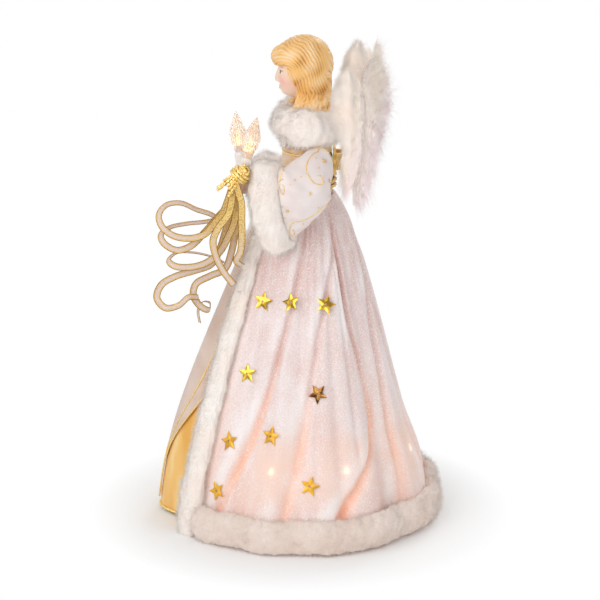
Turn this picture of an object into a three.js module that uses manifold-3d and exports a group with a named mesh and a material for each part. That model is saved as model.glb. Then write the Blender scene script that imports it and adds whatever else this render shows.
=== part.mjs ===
import * as THREE from 'three';
import { mergeVertices } from 'three/addons/utils/BufferGeometryUtils.js';
import Module from 'manifold-3d';

// Angel tree topper. Millimetres and degrees, +Z up, the figure faces -Y, its left is +X.
// The origin is the centre of the cone's rim, on the plane the topper stands on.

// Clearance between pieces that touch on the real topper
const GAP = 0.4;

// Velvet overskirt: a folded cone, open at the front
const WAIST_HEIGHT = 241;
const HEM_HEIGHT = 12;
const WAIST_RADIUS = 20.5;
const HEM_RADIUS = 90.5;
const SKIRT_FULLNESS = 8.2;
const GATHER_SHARE = 0.08;
const WAIST_SET_BACK = 5;
const VELVET = 1.6;
const FOLD_DEPTH = 12;
const WAIST_FOLD_DEPTH = 2;
const FOLD_HALF_WIDTH = 8;
const FOLD_ANGLES = [-28, -3, 47, 90, 133, 183, 208];
const EDGE_ANGLE = -49;

// Fur round the hem and down both front edges
const HEM_FUR_HEIGHT = 26;
const HEM_FUR_DEPTH = 14.5;
const HEM_FUR_FOLDING = 0.35;
const FUR_ABOVE_FLOOR = 1;
const TRIM_TOP_WIDTH = 12;
const TRIM_HEM_WIDTH = 22;
const TRIM_TOP_DEPTH = 7;
const TRIM_HEM_DEPTH = 14;
const TRIM_BELOW_WAIST = 6;

// Gold underskirt panel and the sheer apron over it
const PANEL_HALF_ANGLE = 44;
const PANEL_CLOTH = 1.2;
const PANEL_HEM_TUCK = 6.5;
const PANEL_BULGE = 2;
const PANEL_HEM_FLARE = 10;
const PANEL_FLARE_SHARE = 0.8;
const PANEL_TOP_BULGE_ANGLE = 10;
const PANEL_BULGE_ANGLE = 26;
const PANEL_BELOW_WAIST = 5;
const PANEL_ABOVE_FLOOR = 3;
const APRON_HALF_ANGLE = 22;
const APRON_CLOTH = 0.8;
const APRON_ABOVE_FLOOR = 9;

// Card cone that slips over the tree's tip
const CONE_CLEARANCE = 2.4;
const CONE_TOP_RADIUS = 13;
const CONE_WALL = 1.8;
const CONE_BELOW_WAIST = 3;
const RIM_LIP = 3;
const RIM_HEIGHT = 4;

// Lamps clipped round the cone under the skirt
const LAMP_ANGLES = [-110, -70, -15, 22, 68, 112, 158, 195];
const LAMP_HEIGHT = 58;
const LAMP_SOCKET_RADIUS = 4.2;
const LAMP_SOCKET_LENGTH = 14;
const LAMP_BULB_RADIUS = 2.8;
const LAMP_BULB_LENGTH = 12;
const LAMP_WIRE_RADIUS = 1.2;
const LAMP_WIRE_OPENING = 30;

// Torso, bodice and waist cord
const CHEST_RISE = 26;
const SHOULDER_RISE = 39;
const CHEST_HALF_WIDTH = 21;
const CHEST_HALF_DEPTH = 16.5;
const SHOULDER_HALF_WIDTH = 20;
const SHOULDER_HALF_DEPTH = 13;
const BODICE = 1.2;
const BODICE_LOW_RISE = 4.5;
const BODICE_BELOW_SHOULDER = 1.5;
const ARMHOLE_RADIUS = 6.5;
const WAIST_CORD_RADIUS = 1.5;
const WAIST_CORD_TURNS = 2;
const WAIST_CORD_PITCH = 3.7;

// Head with moulded hair
const NECK_RADIUS = 8;
const HEAD_RISE = 51;
const HEAD_FORWARD = 4;
const HAIR_HALF_WIDTH = 20;
const HAIR_HALF_DEPTH = 20.5;
const HAIR_HALF_HEIGHT = 20;
const FACE_HALF_WIDTH = 14;
const FACE_HALF_HEIGHT = 17;
const CHIN_RADIUS = 7;
const NOSE_RADIUS = 2.4;

// Fur shawl collar
const COLLAR_HALF_WIDTH = 27;
const COLLAR_FUR = 17;
const COLLAR_ROLL = 12.5;
const COLLAR_BACK_DIP = 2;
const COLLAR_DROOP = 2.5;
const COLLAR_NOTCH = 2;
const COLLAR_NOTCH_ANGLE = 1.45 * Math.PI;
const COLLAR_NOTCH_WIDTH = 0.3;

// Arms: shoulder eyes, bent wire, bell sleeves and fur cuffs
const PIVOT_X = 30;
const PIVOT_SET_BACK = 6;
const EYE_BELOW_SHOULDER = 10;
const EYE_RADIUS = 4;
const EYE_THICKNESS = 4;
const WIRE_RADIUS = 1.2;
const PIN_CLEARANCE = 0.45;
const PIN_REACH = 3;
const SLEEVE_CLOTH = 1.2;
const SLEEVE_PATH = [[-4, 1, 1], [6, 1, -3], [13, -5, -11], [16, -14, -20], [13, -20, -26]];
const LEFT_ARM_SPREAD = 4;
const RIGHT_ARM_SPREAD = 9;
const RIGHT_ARM_DROP = 18.5;
const SLEEVE_ARMHOLE_HALF_WIDTH = 10;
const SLEEVE_ARMHOLE_HALF_HEIGHT = 8.5;
const SLEEVE_MOUTH_HALF_WIDTH = 13.5;
const SLEEVE_MOUTH_HALF_HEIGHT = 26.5;
const SLEEVE_MOUTH_TILT = 11;
const SLEEVE_ELBOW_TILT = 42;
const CUFF_LENGTH = 21;
const CUFF_FUR = 2.5;
const CUFF_SWELL = 5;
const WRIST_RADIUS = 4;
const FIST_RADIUS = 5.6;
const FIST_HALF_HEIGHT = 6.8;
const FINGERS = 4;
const FINGER_SWELL = 1;
const THUMB_RADIUS = 1.9;

// Hands: how far each reaches out of its cuff and how high it is held in it
const LEFT_HAND = { reach: 9, rise: 19.5 };
const RIGHT_HAND = { reach: 9, rise: 19.5 };

// Candles, with the way each one leans
const LEFT_CANDLE_AXIS = [0.1, 0.24, 0.96];
const RIGHT_CANDLE_AXIS = [-0.29, -0.1, 0.95];
const CANDLE_RADIUS = 3.9;
const CANDLE_BELOW_HAND = 9;
const CANDLE_ABOVE_HAND = 19;
const SPIGOT_RADIUS = 2.9;
const SPIGOT_LENGTH = 5;
const BULB_NECK_RADIUS = 1.6;
const BULB_NECK_LENGTH = 9;
const BULB_RADIUS = 2.2;
const BULB_LENGTH = 9;
const LENS_WALL = 1;
const LENS_RADIUS = 6.6;
const LENS_LENGTH = 30;
const LENS_WAIST = 13;
const LENS_SIDES = 8;

// Gold ribbons gathered in a tie on the outer side of the left hand
const TIE_OFFSET = [14.5, 1, 10];
const RIBBON_WIDTH = 5;
const RIBBON_THICKNESS = 0.8;
const RIBBON_SPACING = 1.35;
const TIE_WIRE_RADIUS = 1.3;
const TIE_BACK = 3;
const TIE_FRONT = 5;

// Wings on a bracket with two upright pins
const LEFT_WING_SWEEP = 12;
const RIGHT_WING_SWEEP = 24;
const WING_PIN_X = 7;
const BRACKET_PLATE = 2;
const BRACKET_HALF_WIDTH = 11;
const BRACKET_HEIGHT = 17;
const KNUCKLE_INSET = 2.5;
const KNUCKLE_RADIUS = 2.9;
const KNUCKLE_STAND_OFF = 5.5;
const WING_WIRE = [
  [0, 11], [0, 22], [0, 33], [9, 43], [31, 66], [45, 83], [54, 84], [58, 62], [50, 32], [28, 13], [7, 7],
];
const WING_TIP_ROOT = [46, 76];
const WING_INNER_ROOT = [13, 33];
const FEATHER_TIP_ANGLE = 64;
const FEATHER_INNER_ANGLE = -74;
const FLIGHT_FEATHERS = 9;
const FLIGHT_LENGTHS = { tip: 22, middle: 54, inner: 36 };
const COVERT_FEATHERS = 7;
const COVERT_LENGTHS = { tip: 16, middle: 32, inner: 26 };
const SHORT_FEATHER_SHARE = 0.15;
const FEATHER_THICKNESS = 1.4;
const FEATHER_LAP = 0.35;
const FEATHER_HALF_WIDTH = 8.5;

// Star sequins on the side of the skirt: angle, height and spin of each
const STAR_RADIUS = 7.5;
const STAR_INNER_RADIUS = 3.6;
const STAR_HOLE_RADIUS = 1.2;
const STAR_THICKNESS = 0.8;
const STARS = [
  [-37, 171, 10], [-9, 171, 40], [18, 169, 0], [-38, 121, 25], [9, 111, 55],
  [-17, 81, 15], [-41, 73, 35], [4, 49, 5], [-42, 38, 50],
];

const SEWN_WHITE = material(0xf3eee6, 0.95, 0);
const VELVET_PINK = material(0xecdcd2, 0.8, 0);
const GOLD_SATIN = material(0xc99a3c, 0.45, 0.2);
const GOLD_FOIL = material(0xd4a53a, 0.3, 0.7);
const PORCELAIN = material(0xf0c4a0, 0.4, 0);
const CARD = material(0xe9e4d8, 0.9, 0);
const STEEL_WIRE = material(0x9a9a98, 0.4, 0.8);
const CANDLE_WHITE = material(0xf4f1ea, 0.5, 0);
const CLEAR = material(0xe9dfc0, 0.1, 0);
const LAMP_GLASS = material(0xffd9a0, 0.2, 0);
const FEATHER_WHITE = material(0xf1ede8, 0.9, 0);
const SHEER = material(0xd9c6b0, 0.7, 0);

function material(color, roughness, metalness) {
  return new THREE.MeshStandardMaterial({ color, roughness, metalness });
}

const rad = THREE.MathUtils.degToRad;
const mix = THREE.MathUtils.lerp;
const vec = (x, y, z) => new THREE.Vector3(x, y, z);

const wasm = await Module();
wasm.setup();

// Closed surface from points and triangles, turned so that it faces out
function closedBody(points, faces) {
  let volume = 0;
  const cross = vec(0, 0, 0);
  for (const [a, b, c] of faces) {
    volume += points[a].dot(cross.crossVectors(points[b], points[c]));
  }
  const turned = volume < 0 ? faces.map(([a, b, c]) => [a, c, b]) : faces;
  const geometry = new THREE.BufferGeometry();
  geometry.setFromPoints(points);
  geometry.setIndex(turned.flat());
  geometry.computeVertexNormals();
  return geometry;
}

// A library geometry with its doubled corners joined and its empty triangles dropped
function tidy(geometry) {
  geometry.deleteAttribute('normal');
  geometry.deleteAttribute('uv');
  const joined = mergeVertices(geometry, 1e-3);
  const position = joined.attributes.position;
  const points = [];
  for (let i = 0; i < position.count; i++) {
    points.push(vec(0, 0, 0).fromBufferAttribute(position, i));
  }
  const faces = [];
  for (let i = 0; i < joined.index.count; i += 3) {
    const face = [0, 1, 2].map((k) => joined.index.getX(i + k));
    if (new Set(face).size === 3) {
      faces.push(face);
    }
  }
  return closedBody(points, faces);
}

function toManifold(geometry) {
  const body = tidy(geometry.clone());
  const vertProperties = Float32Array.from(body.attributes.position.array);
  const triVerts = Uint32Array.from(body.index.array);
  return new wasm.Manifold(new wasm.Mesh({ numProp: 3, vertProperties, triVerts }));
}

function fromManifold(body) {
  const mesh = body.getMesh();
  const geometry = new THREE.BufferGeometry();
  geometry.setAttribute('position', new THREE.BufferAttribute(mesh.vertProperties, 3));
  geometry.setIndex(new THREE.BufferAttribute(mesh.triVerts, 1));
  geometry.computeVertexNormals();
  return geometry;
}

function join(geometries) {
  return fromManifold(geometries.map(toManifold).reduce((all, next) => all.add(next)));
}

function cut(base, tools) {
  return fromManifold(tools.map(toManifold).reduce((rest, tool) => rest.subtract(tool), toManifold(base)));
}

// Solid through closed rings of equal count, with both ends closed
function loft(rings) {
  const count = rings[0].length;
  const points = rings.flat();
  const faces = [];
  for (let i = 0; i + 1 < rings.length; i++) {
    for (let j = 0; j < count; j++) {
      const a = i * count + j;
      const b = i * count + (j + 1) % count;
      faces.push([a, b, b + count], [a, b + count, a + count]);
    }
  }
  const last = (rings.length - 1) * count;
  const lowHub = points.push(centreOf(rings[0])) - 1;
  const highHub = points.push(centreOf(rings.at(-1))) - 1;
  for (let j = 0; j < count; j++) {
    const next = (j + 1) % count;
    faces.push([lowHub, next, j], [highHub, last + j, last + next]);
  }
  return closedBody(points, faces);
}

function centreOf(ring) {
  const sum = ring.reduce((total, point) => total.add(point), vec(0, 0, 0));
  return sum.divideScalar(ring.length);
}

// Solid ring through sections that come back to the first one
function ringLoft(sections) {
  const count = sections[0].length;
  const faces = [];
  sections.forEach((section, i) => {
    const here = i * count;
    const there = ((i + 1) % sections.length) * count;
    for (let j = 0; j < count; j++) {
      const next = (j + 1) % count;
      faces.push([here + j, here + next, there + next], [here + j, there + next, there + j]);
    }
  });
  return closedBody(sections.flat(), faces);
}

// Wall between an outer and an inner grid of points, closed round its edges
function shell(outer, inner, wrapped) {
  const columns = outer[0].length;
  const span = wrapped ? columns : columns - 1;
  const inside = outer.length * columns;
  const faces = [];
  const quad = (a, b, c, d) => faces.push([a, b, c], [a, c, d]);
  for (let i = 0; i + 1 < outer.length; i++) {
    for (let j = 0; j < span; j++) {
      const next = (j + 1) % columns;
      const a = i * columns + j;
      const b = i * columns + next;
      quad(a, b, b + columns, a + columns);
      quad(inside + a, inside + a + columns, inside + b + columns, inside + b);
    }
  }
  const low = (outer.length - 1) * columns;
  for (let j = 0; j < span; j++) {
    const next = (j + 1) % columns;
    quad(next, j, inside + j, inside + next);
    quad(low + j, low + next, inside + low + next, inside + low + j);
  }
  for (let i = 0; !wrapped && i + 1 < outer.length; i++) {
    const a = i * columns;
    const b = a + columns;
    quad(a, b, inside + b, inside + a);
    quad(b + columns - 1, b - 1, inside + b - 1, inside + b + columns - 1);
  }
  return closedBody([...outer.flat(), ...inner.flat()], faces);
}

// Ellipse of points about a centre, along two axes of given half lengths
function ellipse(centre, u, v, halfU, halfV, count) {
  const points = [];
  for (let j = 0; j < count; j++) {
    const turn = (2 * Math.PI * j) / count;
    const point = centre.clone().addScaledVector(u, halfU * Math.cos(turn));
    points.push(point.addScaledVector(v, halfV * Math.sin(turn)));
  }
  return points;
}

function steps(count) {
  return Array.from({ length: count + 1 }, (unused, i) => i / count);
}

// Body of revolution about Z from [radius, height] corners
function revolve(profile, sides) {
  const corners = profile.map(([r, z]) => new THREE.Vector2(r, z));
  const geometry = new THREE.LatheGeometry(corners, sides);
  geometry.rotateX(Math.PI / 2);
  return tidy(geometry);
}

function roundSection(radius, sides) {
  const corners = steps(sides).slice(1).map((t) => {
    return new THREE.Vector2(radius * Math.cos(2 * Math.PI * t), radius * Math.sin(2 * Math.PI * t));
  });
  return new THREE.Shape(corners);
}

// Section carried along a smooth curve through points
function sweep(section, points, count) {
  const extrudePath = new THREE.CatmullRomCurve3(points);
  return tidy(new THREE.ExtrudeGeometry(section, { steps: count, extrudePath, bevelEnabled: false }));
}

function plate(shape, thickness, curveSegments) {
  return new THREE.ExtrudeGeometry(shape, { depth: thickness, bevelEnabled: false, curveSegments });
}

function box(x0, x1, y0, y1, z0, z1) {
  const geometry = new THREE.BoxGeometry(x1 - x0, y1 - y0, z1 - z0);
  geometry.translate((x0 + x1) / 2, (y0 + y1) / 2, (z0 + z1) / 2);
  return geometry;
}

function post(radius, x, y, z0, z1, sides) {
  const geometry = new THREE.CylinderGeometry(radius, radius, z1 - z0, sides);
  geometry.rotateX(Math.PI / 2);
  geometry.translate(x, y, (z0 + z1) / 2);
  return geometry;
}

const topper = new THREE.Group();
topper.name = 'angel_tree_topper';

function add(name, geometry, look) {
  const mesh = new THREE.Mesh(geometry, look);
  mesh.name = name;
  topper.add(mesh);
}

// Skirt surface

function skirtShare(z) {
  return (WAIST_HEIGHT - z) / (WAIST_HEIGHT - HEM_HEIGHT);
}

function skirtRadius(z) {
  const t = skirtShare(z);
  const gathered = 1 - Math.exp(-t / GATHER_SHARE);
  return mix(WAIST_RADIUS, HEM_RADIUS, t) + SKIRT_FULLNESS * gathered * (1 - t ** 6);
}

function foldedRadius(angle, z) {
  const depth = mix(WAIST_FOLD_DEPTH, FOLD_DEPTH, skirtShare(z));
  const fold = FOLD_ANGLES.reduce((sum, at) => sum + Math.exp(-(((angle - at) / FOLD_HALF_WIDTH) ** 2)), 0);
  return skirtRadius(z) - depth * fold;
}

function skirtAxisY(z) {
  return (WAIST_SET_BACK * z) / WAIST_HEIGHT;
}

function around(angle, radius, z) {
  return vec(radius * Math.cos(rad(angle)), skirtAxisY(z) + radius * Math.sin(rad(angle)), z);
}

// Heights from the waist down, closer together where the skirt swells out of its gathers
function skirtHeights(top, low) {
  return steps(9).map((t) => mix(top, low, t ** 1.5));
}

function overskirt() {
  const heights = skirtHeights(WAIST_HEIGHT, HEM_HEIGHT);
  const angles = steps(66).map((t) => mix(EDGE_ANGLE, 180 - EDGE_ANGLE, t));
  const wall = (inset) => heights.map((z) => angles.map((at) => around(at, foldedRadius(at, z) - inset, z)));
  return shell(wall(0), wall(VELVET), false);
}

function hemFur() {
  const middle = FUR_ABOVE_FLOOR + HEM_FUR_HEIGHT / 2;
  const up = vec(0, 0, 1);
  const rings = steps(66).map((t) => {
    const angle = mix(EDGE_ANGLE, 180 - EDGE_ANGLE, t);
    const inner = mix(skirtRadius(HEM_HEIGHT), foldedRadius(angle, HEM_HEIGHT), HEM_FUR_FOLDING);
    const radius = inner + GAP + HEM_FUR_DEPTH / 2;
    const out = vec(Math.cos(rad(angle)), Math.sin(rad(angle)), 0);
    return ellipse(around(angle, radius, middle), out, up, HEM_FUR_DEPTH / 2, HEM_FUR_HEIGHT / 2, 8);
  });
  return loft(rings);
}

function frontTrim(side) {
  const top = WAIST_HEIGHT - TRIM_BELOW_WAIST;
  const rings = steps(10).map((t) => {
    const z = mix(top, FUR_ABOVE_FLOOR, t);
    const halfWidth = mix(TRIM_TOP_WIDTH, TRIM_HEM_WIDTH, t) / 2;
    const halfDepth = mix(TRIM_TOP_DEPTH, TRIM_HEM_DEPTH, t) / 2;
    const radius = skirtRadius(z) + GAP + halfDepth;
    const lead = Math.asin((halfWidth + GAP) / radius);
    const leftAngle = rad(EDGE_ANGLE) - lead;
    const angle = side > 0 ? leftAngle : Math.PI - leftAngle;
    const out = vec(Math.cos(angle), Math.sin(angle), 0);
    const along = vec(-Math.sin(angle), Math.cos(angle), 0);
    const centre = vec(0, skirtAxisY(z), z).addScaledVector(out, radius);
    return ellipse(centre, out, along, halfDepth, halfWidth, 8);
  });
  return loft(rings);
}

// Gold panel: tucked under the overskirt at its sides, swelling out at the front
function panelRadius(angle, z) {
  const t = skirtShare(z);
  const tuck = mix(VELVET + GAP + PANEL_CLOTH, PANEL_HEM_TUCK, t);
  const bulge = PANEL_BULGE + PANEL_HEM_FLARE * THREE.MathUtils.smoothstep(t, 0, PANEL_FLARE_SHARE);
  const widening = THREE.MathUtils.smoothstep(t, 0, 0.5);
  const off = 1 - Math.abs(angle + 90) / mix(PANEL_TOP_BULGE_ANGLE, PANEL_BULGE_ANGLE, widening);
  return skirtRadius(z) - tuck + (tuck + bulge) * THREE.MathUtils.smoothstep(off, 0, 1);
}

function panel(halfAngle, lowest, inner, cloth, columns) {
  const heights = skirtHeights(WAIST_HEIGHT - PANEL_BELOW_WAIST, lowest);
  const angles = steps(columns).map((t) => mix(-90 - halfAngle, -90 + halfAngle, t));
  const wall = (out) => heights.map((z) => angles.map((at) => around(at, panelRadius(at, z) + out, z)));
  return shell(wall(inner + cloth), wall(inner), false);
}

// Cone and lamps

const coneHeight = WAIST_HEIGHT - CONE_BELOW_WAIST;
const coneRimRadius = HEM_RADIUS - FOLD_DEPTH - VELVET - CONE_CLEARANCE;
const coneSlope = Math.atan((coneRimRadius - CONE_TOP_RADIUS) / coneHeight);

function coneRadius(z) {
  return mix(coneRimRadius, CONE_TOP_RADIUS, z / coneHeight);
}

function supportCone() {
  const lid = coneHeight - CONE_WALL;
  return revolve([
    [0, coneHeight], [CONE_TOP_RADIUS, coneHeight],
    [coneRadius(RIM_HEIGHT), RIM_HEIGHT], [coneRimRadius + RIM_LIP, RIM_HEIGHT],
    [coneRimRadius + RIM_LIP, 0], [coneRimRadius - CONE_WALL, 0],
    [coneRadius(lid) - CONE_WALL, lid], [0, lid],
  ], 40);
}

// Place on the cone's outside, a distance up its slope and off its face
function onCone(angle, upSlope, off) {
  const radius = coneRadius(LAMP_HEIGHT) - upSlope * Math.sin(coneSlope) + off * Math.cos(coneSlope);
  const z = LAMP_HEIGHT + upSlope * Math.cos(coneSlope) + off * Math.sin(coneSlope);
  return vec(radius * Math.cos(rad(angle)), radius * Math.sin(rad(angle)), z);
}

function skirtLamp(angle) {
  const r = LAMP_BULB_RADIUS;
  const lamp = revolve([
    [0, LAMP_SOCKET_LENGTH], [LAMP_SOCKET_RADIUS, LAMP_SOCKET_LENGTH], [LAMP_SOCKET_RADIUS, 0],
    [r, 0], [r, r - LAMP_BULB_LENGTH], [r / 2, -LAMP_BULB_LENGTH + r / 4], [0, -LAMP_BULB_LENGTH],
  ], 8);
  lamp.rotateY(-coneSlope);
  lamp.rotateZ(rad(angle));
  const place = onCone(angle, 0, LAMP_SOCKET_RADIUS + GAP);
  lamp.translate(place.x, place.y, place.z);
  return lamp;
}

function lampWire() {
  const upSlope = LAMP_SOCKET_LENGTH + GAP + LAMP_WIRE_RADIUS;
  const route = steps(40).map((t) => {
    const angle = -90 + mix(LAMP_WIRE_OPENING / 2, 360 - LAMP_WIRE_OPENING / 2, t);
    return onCone(angle, upSlope, LAMP_WIRE_RADIUS + GAP);
  });
  return sweep(roundSection(LAMP_WIRE_RADIUS, 5), route, 44);
}

// Torso, bodice and waist cord

const torsoFoot = coneHeight + GAP;
const chestHeight = WAIST_HEIGHT + CHEST_RISE;
const shoulderHeight = WAIST_HEIGHT + SHOULDER_RISE;
const waistCoreRadius = WAIST_RADIUS - VELVET - WAIST_FOLD_DEPTH - GAP;
const pivotY = WAIST_SET_BACK + PIVOT_SET_BACK;
const eyeHeight = shoulderHeight - EYE_BELOW_SHOULDER;
const waistCordFoot = WAIST_HEIGHT + BODICE_LOW_RISE;
const waistCordTop = waistCordFoot + WAIST_CORD_PITCH * WAIST_CORD_TURNS + 2 * WAIST_CORD_RADIUS;

// Half width and half depth of the torso at a height
function torsoHalf(z) {
  const toChest = THREE.MathUtils.smoothstep(z, WAIST_HEIGHT, chestHeight);
  const toShoulder = THREE.MathUtils.smoothstep(z, chestHeight, shoulderHeight);
  const width = mix(waistCoreRadius, CHEST_HALF_WIDTH, toChest);
  const depth = mix(waistCoreRadius, CHEST_HALF_DEPTH, toChest);
  return [mix(width, SHOULDER_HALF_WIDTH, toShoulder), mix(depth, SHOULDER_HALF_DEPTH, toShoulder)];
}

function torsoRing(z, off, count) {
  const [width, depth] = torsoHalf(z);
  return ellipse(vec(0, WAIST_SET_BACK, z), vec(1, 0, 0), vec(0, 1, 0), width + off, depth + off, count);
}

function shoulderEye(side) {
  const shape = new THREE.Shape();
  shape.moveTo(0, -EYE_RADIUS);
  shape.lineTo(PIVOT_X, -EYE_RADIUS);
  shape.absarc(PIVOT_X, 0, EYE_RADIUS, -Math.PI / 2, Math.PI / 2, false);
  shape.lineTo(0, EYE_RADIUS);
  const hole = new THREE.Path();
  hole.absarc(PIVOT_X, 0, WIRE_RADIUS + PIN_CLEARANCE, 0, 2 * Math.PI, true);
  shape.holes.push(hole);
  const eye = plate(shape, EYE_THICKNESS, 6);
  eye.rotateZ(side > 0 ? 0 : Math.PI);
  eye.translate(0, pivotY, eyeHeight - EYE_THICKNESS / 2);
  return eye;
}

function torsoForm() {
  const rings = steps(6).map((t) => torsoRing(mix(torsoFoot, shoulderHeight, t), 0, 20));
  return join([loft(rings), shoulderEye(1), shoulderEye(-1)]);
}

function bodice() {
  const heights = steps(5).map((t) => mix(waistCordFoot, shoulderHeight - BODICE_BELOW_SHOULDER, t));
  const wall = (off) => heights.map((z) => torsoRing(z, off, 20));
  const armhole = post(ARMHOLE_RADIUS, 0, 0, -2 * PIVOT_X, 2 * PIVOT_X, 10);
  armhole.rotateY(Math.PI / 2);
  armhole.translate(0, pivotY, eyeHeight);
  return cut(shell(wall(GAP + BODICE), wall(GAP), true), [armhole]);
}

function waistCord() {
  const off = GAP + BODICE + GAP + WAIST_CORD_RADIUS;
  const route = steps(24 * WAIST_CORD_TURNS).map((t) => {
    const turn = 2 * Math.PI * WAIST_CORD_TURNS * t;
    const z = waistCordFoot + WAIST_CORD_RADIUS + WAIST_CORD_PITCH * WAIST_CORD_TURNS * t;
    const [width, depth] = torsoHalf(z);
    return vec((width + off) * Math.sin(turn), WAIST_SET_BACK + (depth + off) * Math.cos(turn), z);
  });
  reportSelfGap('waist_cord', route, WAIST_CORD_RADIUS);
  return sweep(roundSection(WAIST_CORD_RADIUS, 6), route, 20 * WAIST_CORD_TURNS);
}

// Least gap of a winding to itself, measured on its points
function reportSelfGap(name, route, radius) {
  let least = Infinity;
  const apart = 8;
  for (let i = 0; i < route.length; i++) {
    for (let j = i + apart; j < route.length; j++) {
      least = Math.min(least, route[i].distanceTo(route[j]) - 2 * radius);
    }
  }
  console.log(`${name}: least gap to itself ${least.toFixed(2)} mm`);
}

// Head and collar

const headCentre = vec(0, WAIST_SET_BACK - HEAD_FORWARD, shoulderHeight + HEAD_RISE);

// Rounded lumps that make up the head, each a centre and three half lengths
const headLumps = [
  { at: vec(0, 2, 3.2), half: vec(HAIR_HALF_WIDTH, HAIR_HALF_DEPTH, HAIR_HALF_HEIGHT) },
  { at: vec(0, 7, -11), half: vec(HAIR_HALF_WIDTH + 1, HAIR_HALF_DEPTH - 6, HAIR_HALF_HEIGHT - 4) },
  { at: vec(0, -10, 10), half: vec(FACE_HALF_WIDTH, 9.5, 8) },
  { at: vec(0, -5.5, -4), half: vec(FACE_HALF_WIDTH, 13, FACE_HALF_HEIGHT) },
  { at: vec(0, -9.5, -13.5), half: vec(CHIN_RADIUS, CHIN_RADIUS - 1, CHIN_RADIUS - 1.5) },
  { at: vec(0, -17.6, -8.5), half: vec(NOSE_RADIUS, NOSE_RADIUS, NOSE_RADIUS + 0.6) },
];

// Negative inside the head, with the lumps blended into one another
function headField(point) {
  let sum = 0;
  for (const { at, half } of headLumps) {
    const distance = (point.clone().sub(at).divide(half).length() - 1) * Math.min(half.x, half.y, half.z);
    sum += Math.exp(-distance / 0.8);
  }
  const neckFoot = shoulderHeight + GAP - headCentre.z;
  const besideNeck = Math.hypot(point.x, point.y - HEAD_FORWARD) - NECK_RADIUS;
  const neck = Math.max(besideNeck, neckFoot - point.z, point.z);
  return Math.min(-0.8 * Math.log(sum), neck);
}

function head() {
  const columns = 24;
  const rows = 20;
  const reach = (direction) => {
    let far = HEAD_RISE + NECK_RADIUS;
    while (headField(direction.clone().multiplyScalar(far)) > 0) {
      far -= 0.25;
    }
    return direction.clone().multiplyScalar(far).add(headCentre);
  };
  const rings = steps(rows).slice(1, -1).map((t) => {
    const fromTop = Math.PI * t;
    return steps(columns).slice(1).map((turn) => {
      const angle = 2 * Math.PI * turn;
      const level = Math.sin(fromTop);
      return reach(vec(level * Math.cos(angle), level * Math.sin(angle), Math.cos(fromTop)));
    });
  });
  return loft(rings);
}

// Roll of fur round the neck, lower at the back under the hair and notched where its ends meet
function furCollar() {
  const halfDepth = NECK_RADIUS + GAP + COLLAR_FUR / 2;
  const sections = steps(28).slice(1).map((t) => {
    const angle = 2 * Math.PI * t;
    const out = vec(Math.cos(angle), Math.sin(angle), 0);
    const notch = COLLAR_NOTCH * Math.exp(-(((angle - COLLAR_NOTCH_ANGLE) / COLLAR_NOTCH_WIDTH) ** 2));
    const roll = COLLAR_ROLL - COLLAR_BACK_DIP * Math.max(0, out.y) - notch;
    const middle = shoulderHeight + GAP + Math.hypot(roll, COLLAR_DROOP);
    const centre = vec(COLLAR_HALF_WIDTH * out.x, WAIST_SET_BACK + halfDepth * out.y, middle);
    const sloping = out.clone().multiplyScalar(COLLAR_FUR / 2).add(vec(0, 0, -COLLAR_DROOP));
    return ellipse(centre, sloping, vec(0, 0, 1), 1, roll, 9);
  });
  return ringLoft(sections);
}

// Arms

function pivot(side) {
  return vec(side * PIVOT_X, pivotY, eyeHeight);
}

function sleeveCurve(side) {
  const points = SLEEVE_PATH.map(([x, y, z], i) => {
    const share = i / (SLEEVE_PATH.length - 1);
    const spread = share * (side > 0 ? LEFT_ARM_SPREAD : RIGHT_ARM_SPREAD);
    const drop = share * (side > 0 ? 0 : RIGHT_ARM_DROP);
    return vec(side * (x + spread), y, z - drop).add(pivot(side));
  });
  return new THREE.CatmullRomCurve3(points);
}

// Centre and axes of the sleeve's section at a share of its length
function sleeveFrame(side, t) {
  const curve = sleeveCurve(side);
  const tilt = rad(SLEEVE_MOUTH_TILT * t + SLEEVE_ELBOW_TILT * Math.sin(Math.PI * t) ** 3);
  const tall = vec(0, -Math.sin(tilt), Math.cos(tilt));
  const wide = curve.getTangent(t).cross(tall).normalize();
  const ahead = tall.clone().cross(wide).normalize();
  return { centre: curve.getPoint(t), tall, wide, ahead };
}

function sleeveRing(side, t, off) {
  const { centre, tall, wide } = sleeveFrame(side, t);
  const halfWidth = mix(SLEEVE_ARMHOLE_HALF_WIDTH, SLEEVE_MOUTH_HALF_WIDTH, Math.sin((Math.PI * t) / 2));
  const halfHeight = mix(SLEEVE_ARMHOLE_HALF_HEIGHT, SLEEVE_MOUTH_HALF_HEIGHT, t ** 0.75);
  return ellipse(centre, wide, tall, halfWidth + off, halfHeight + off, 16);
}

function sleeve(side) {
  const shares = steps(7);
  const wall = (off) => shares.map((t) => sleeveRing(side, t, off));
  return shell(wall(0), wall(-SLEEVE_CLOTH), true);
}

const cuffSlotHalfHeight = SLEEVE_MOUTH_HALF_HEIGHT - GAP;

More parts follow.
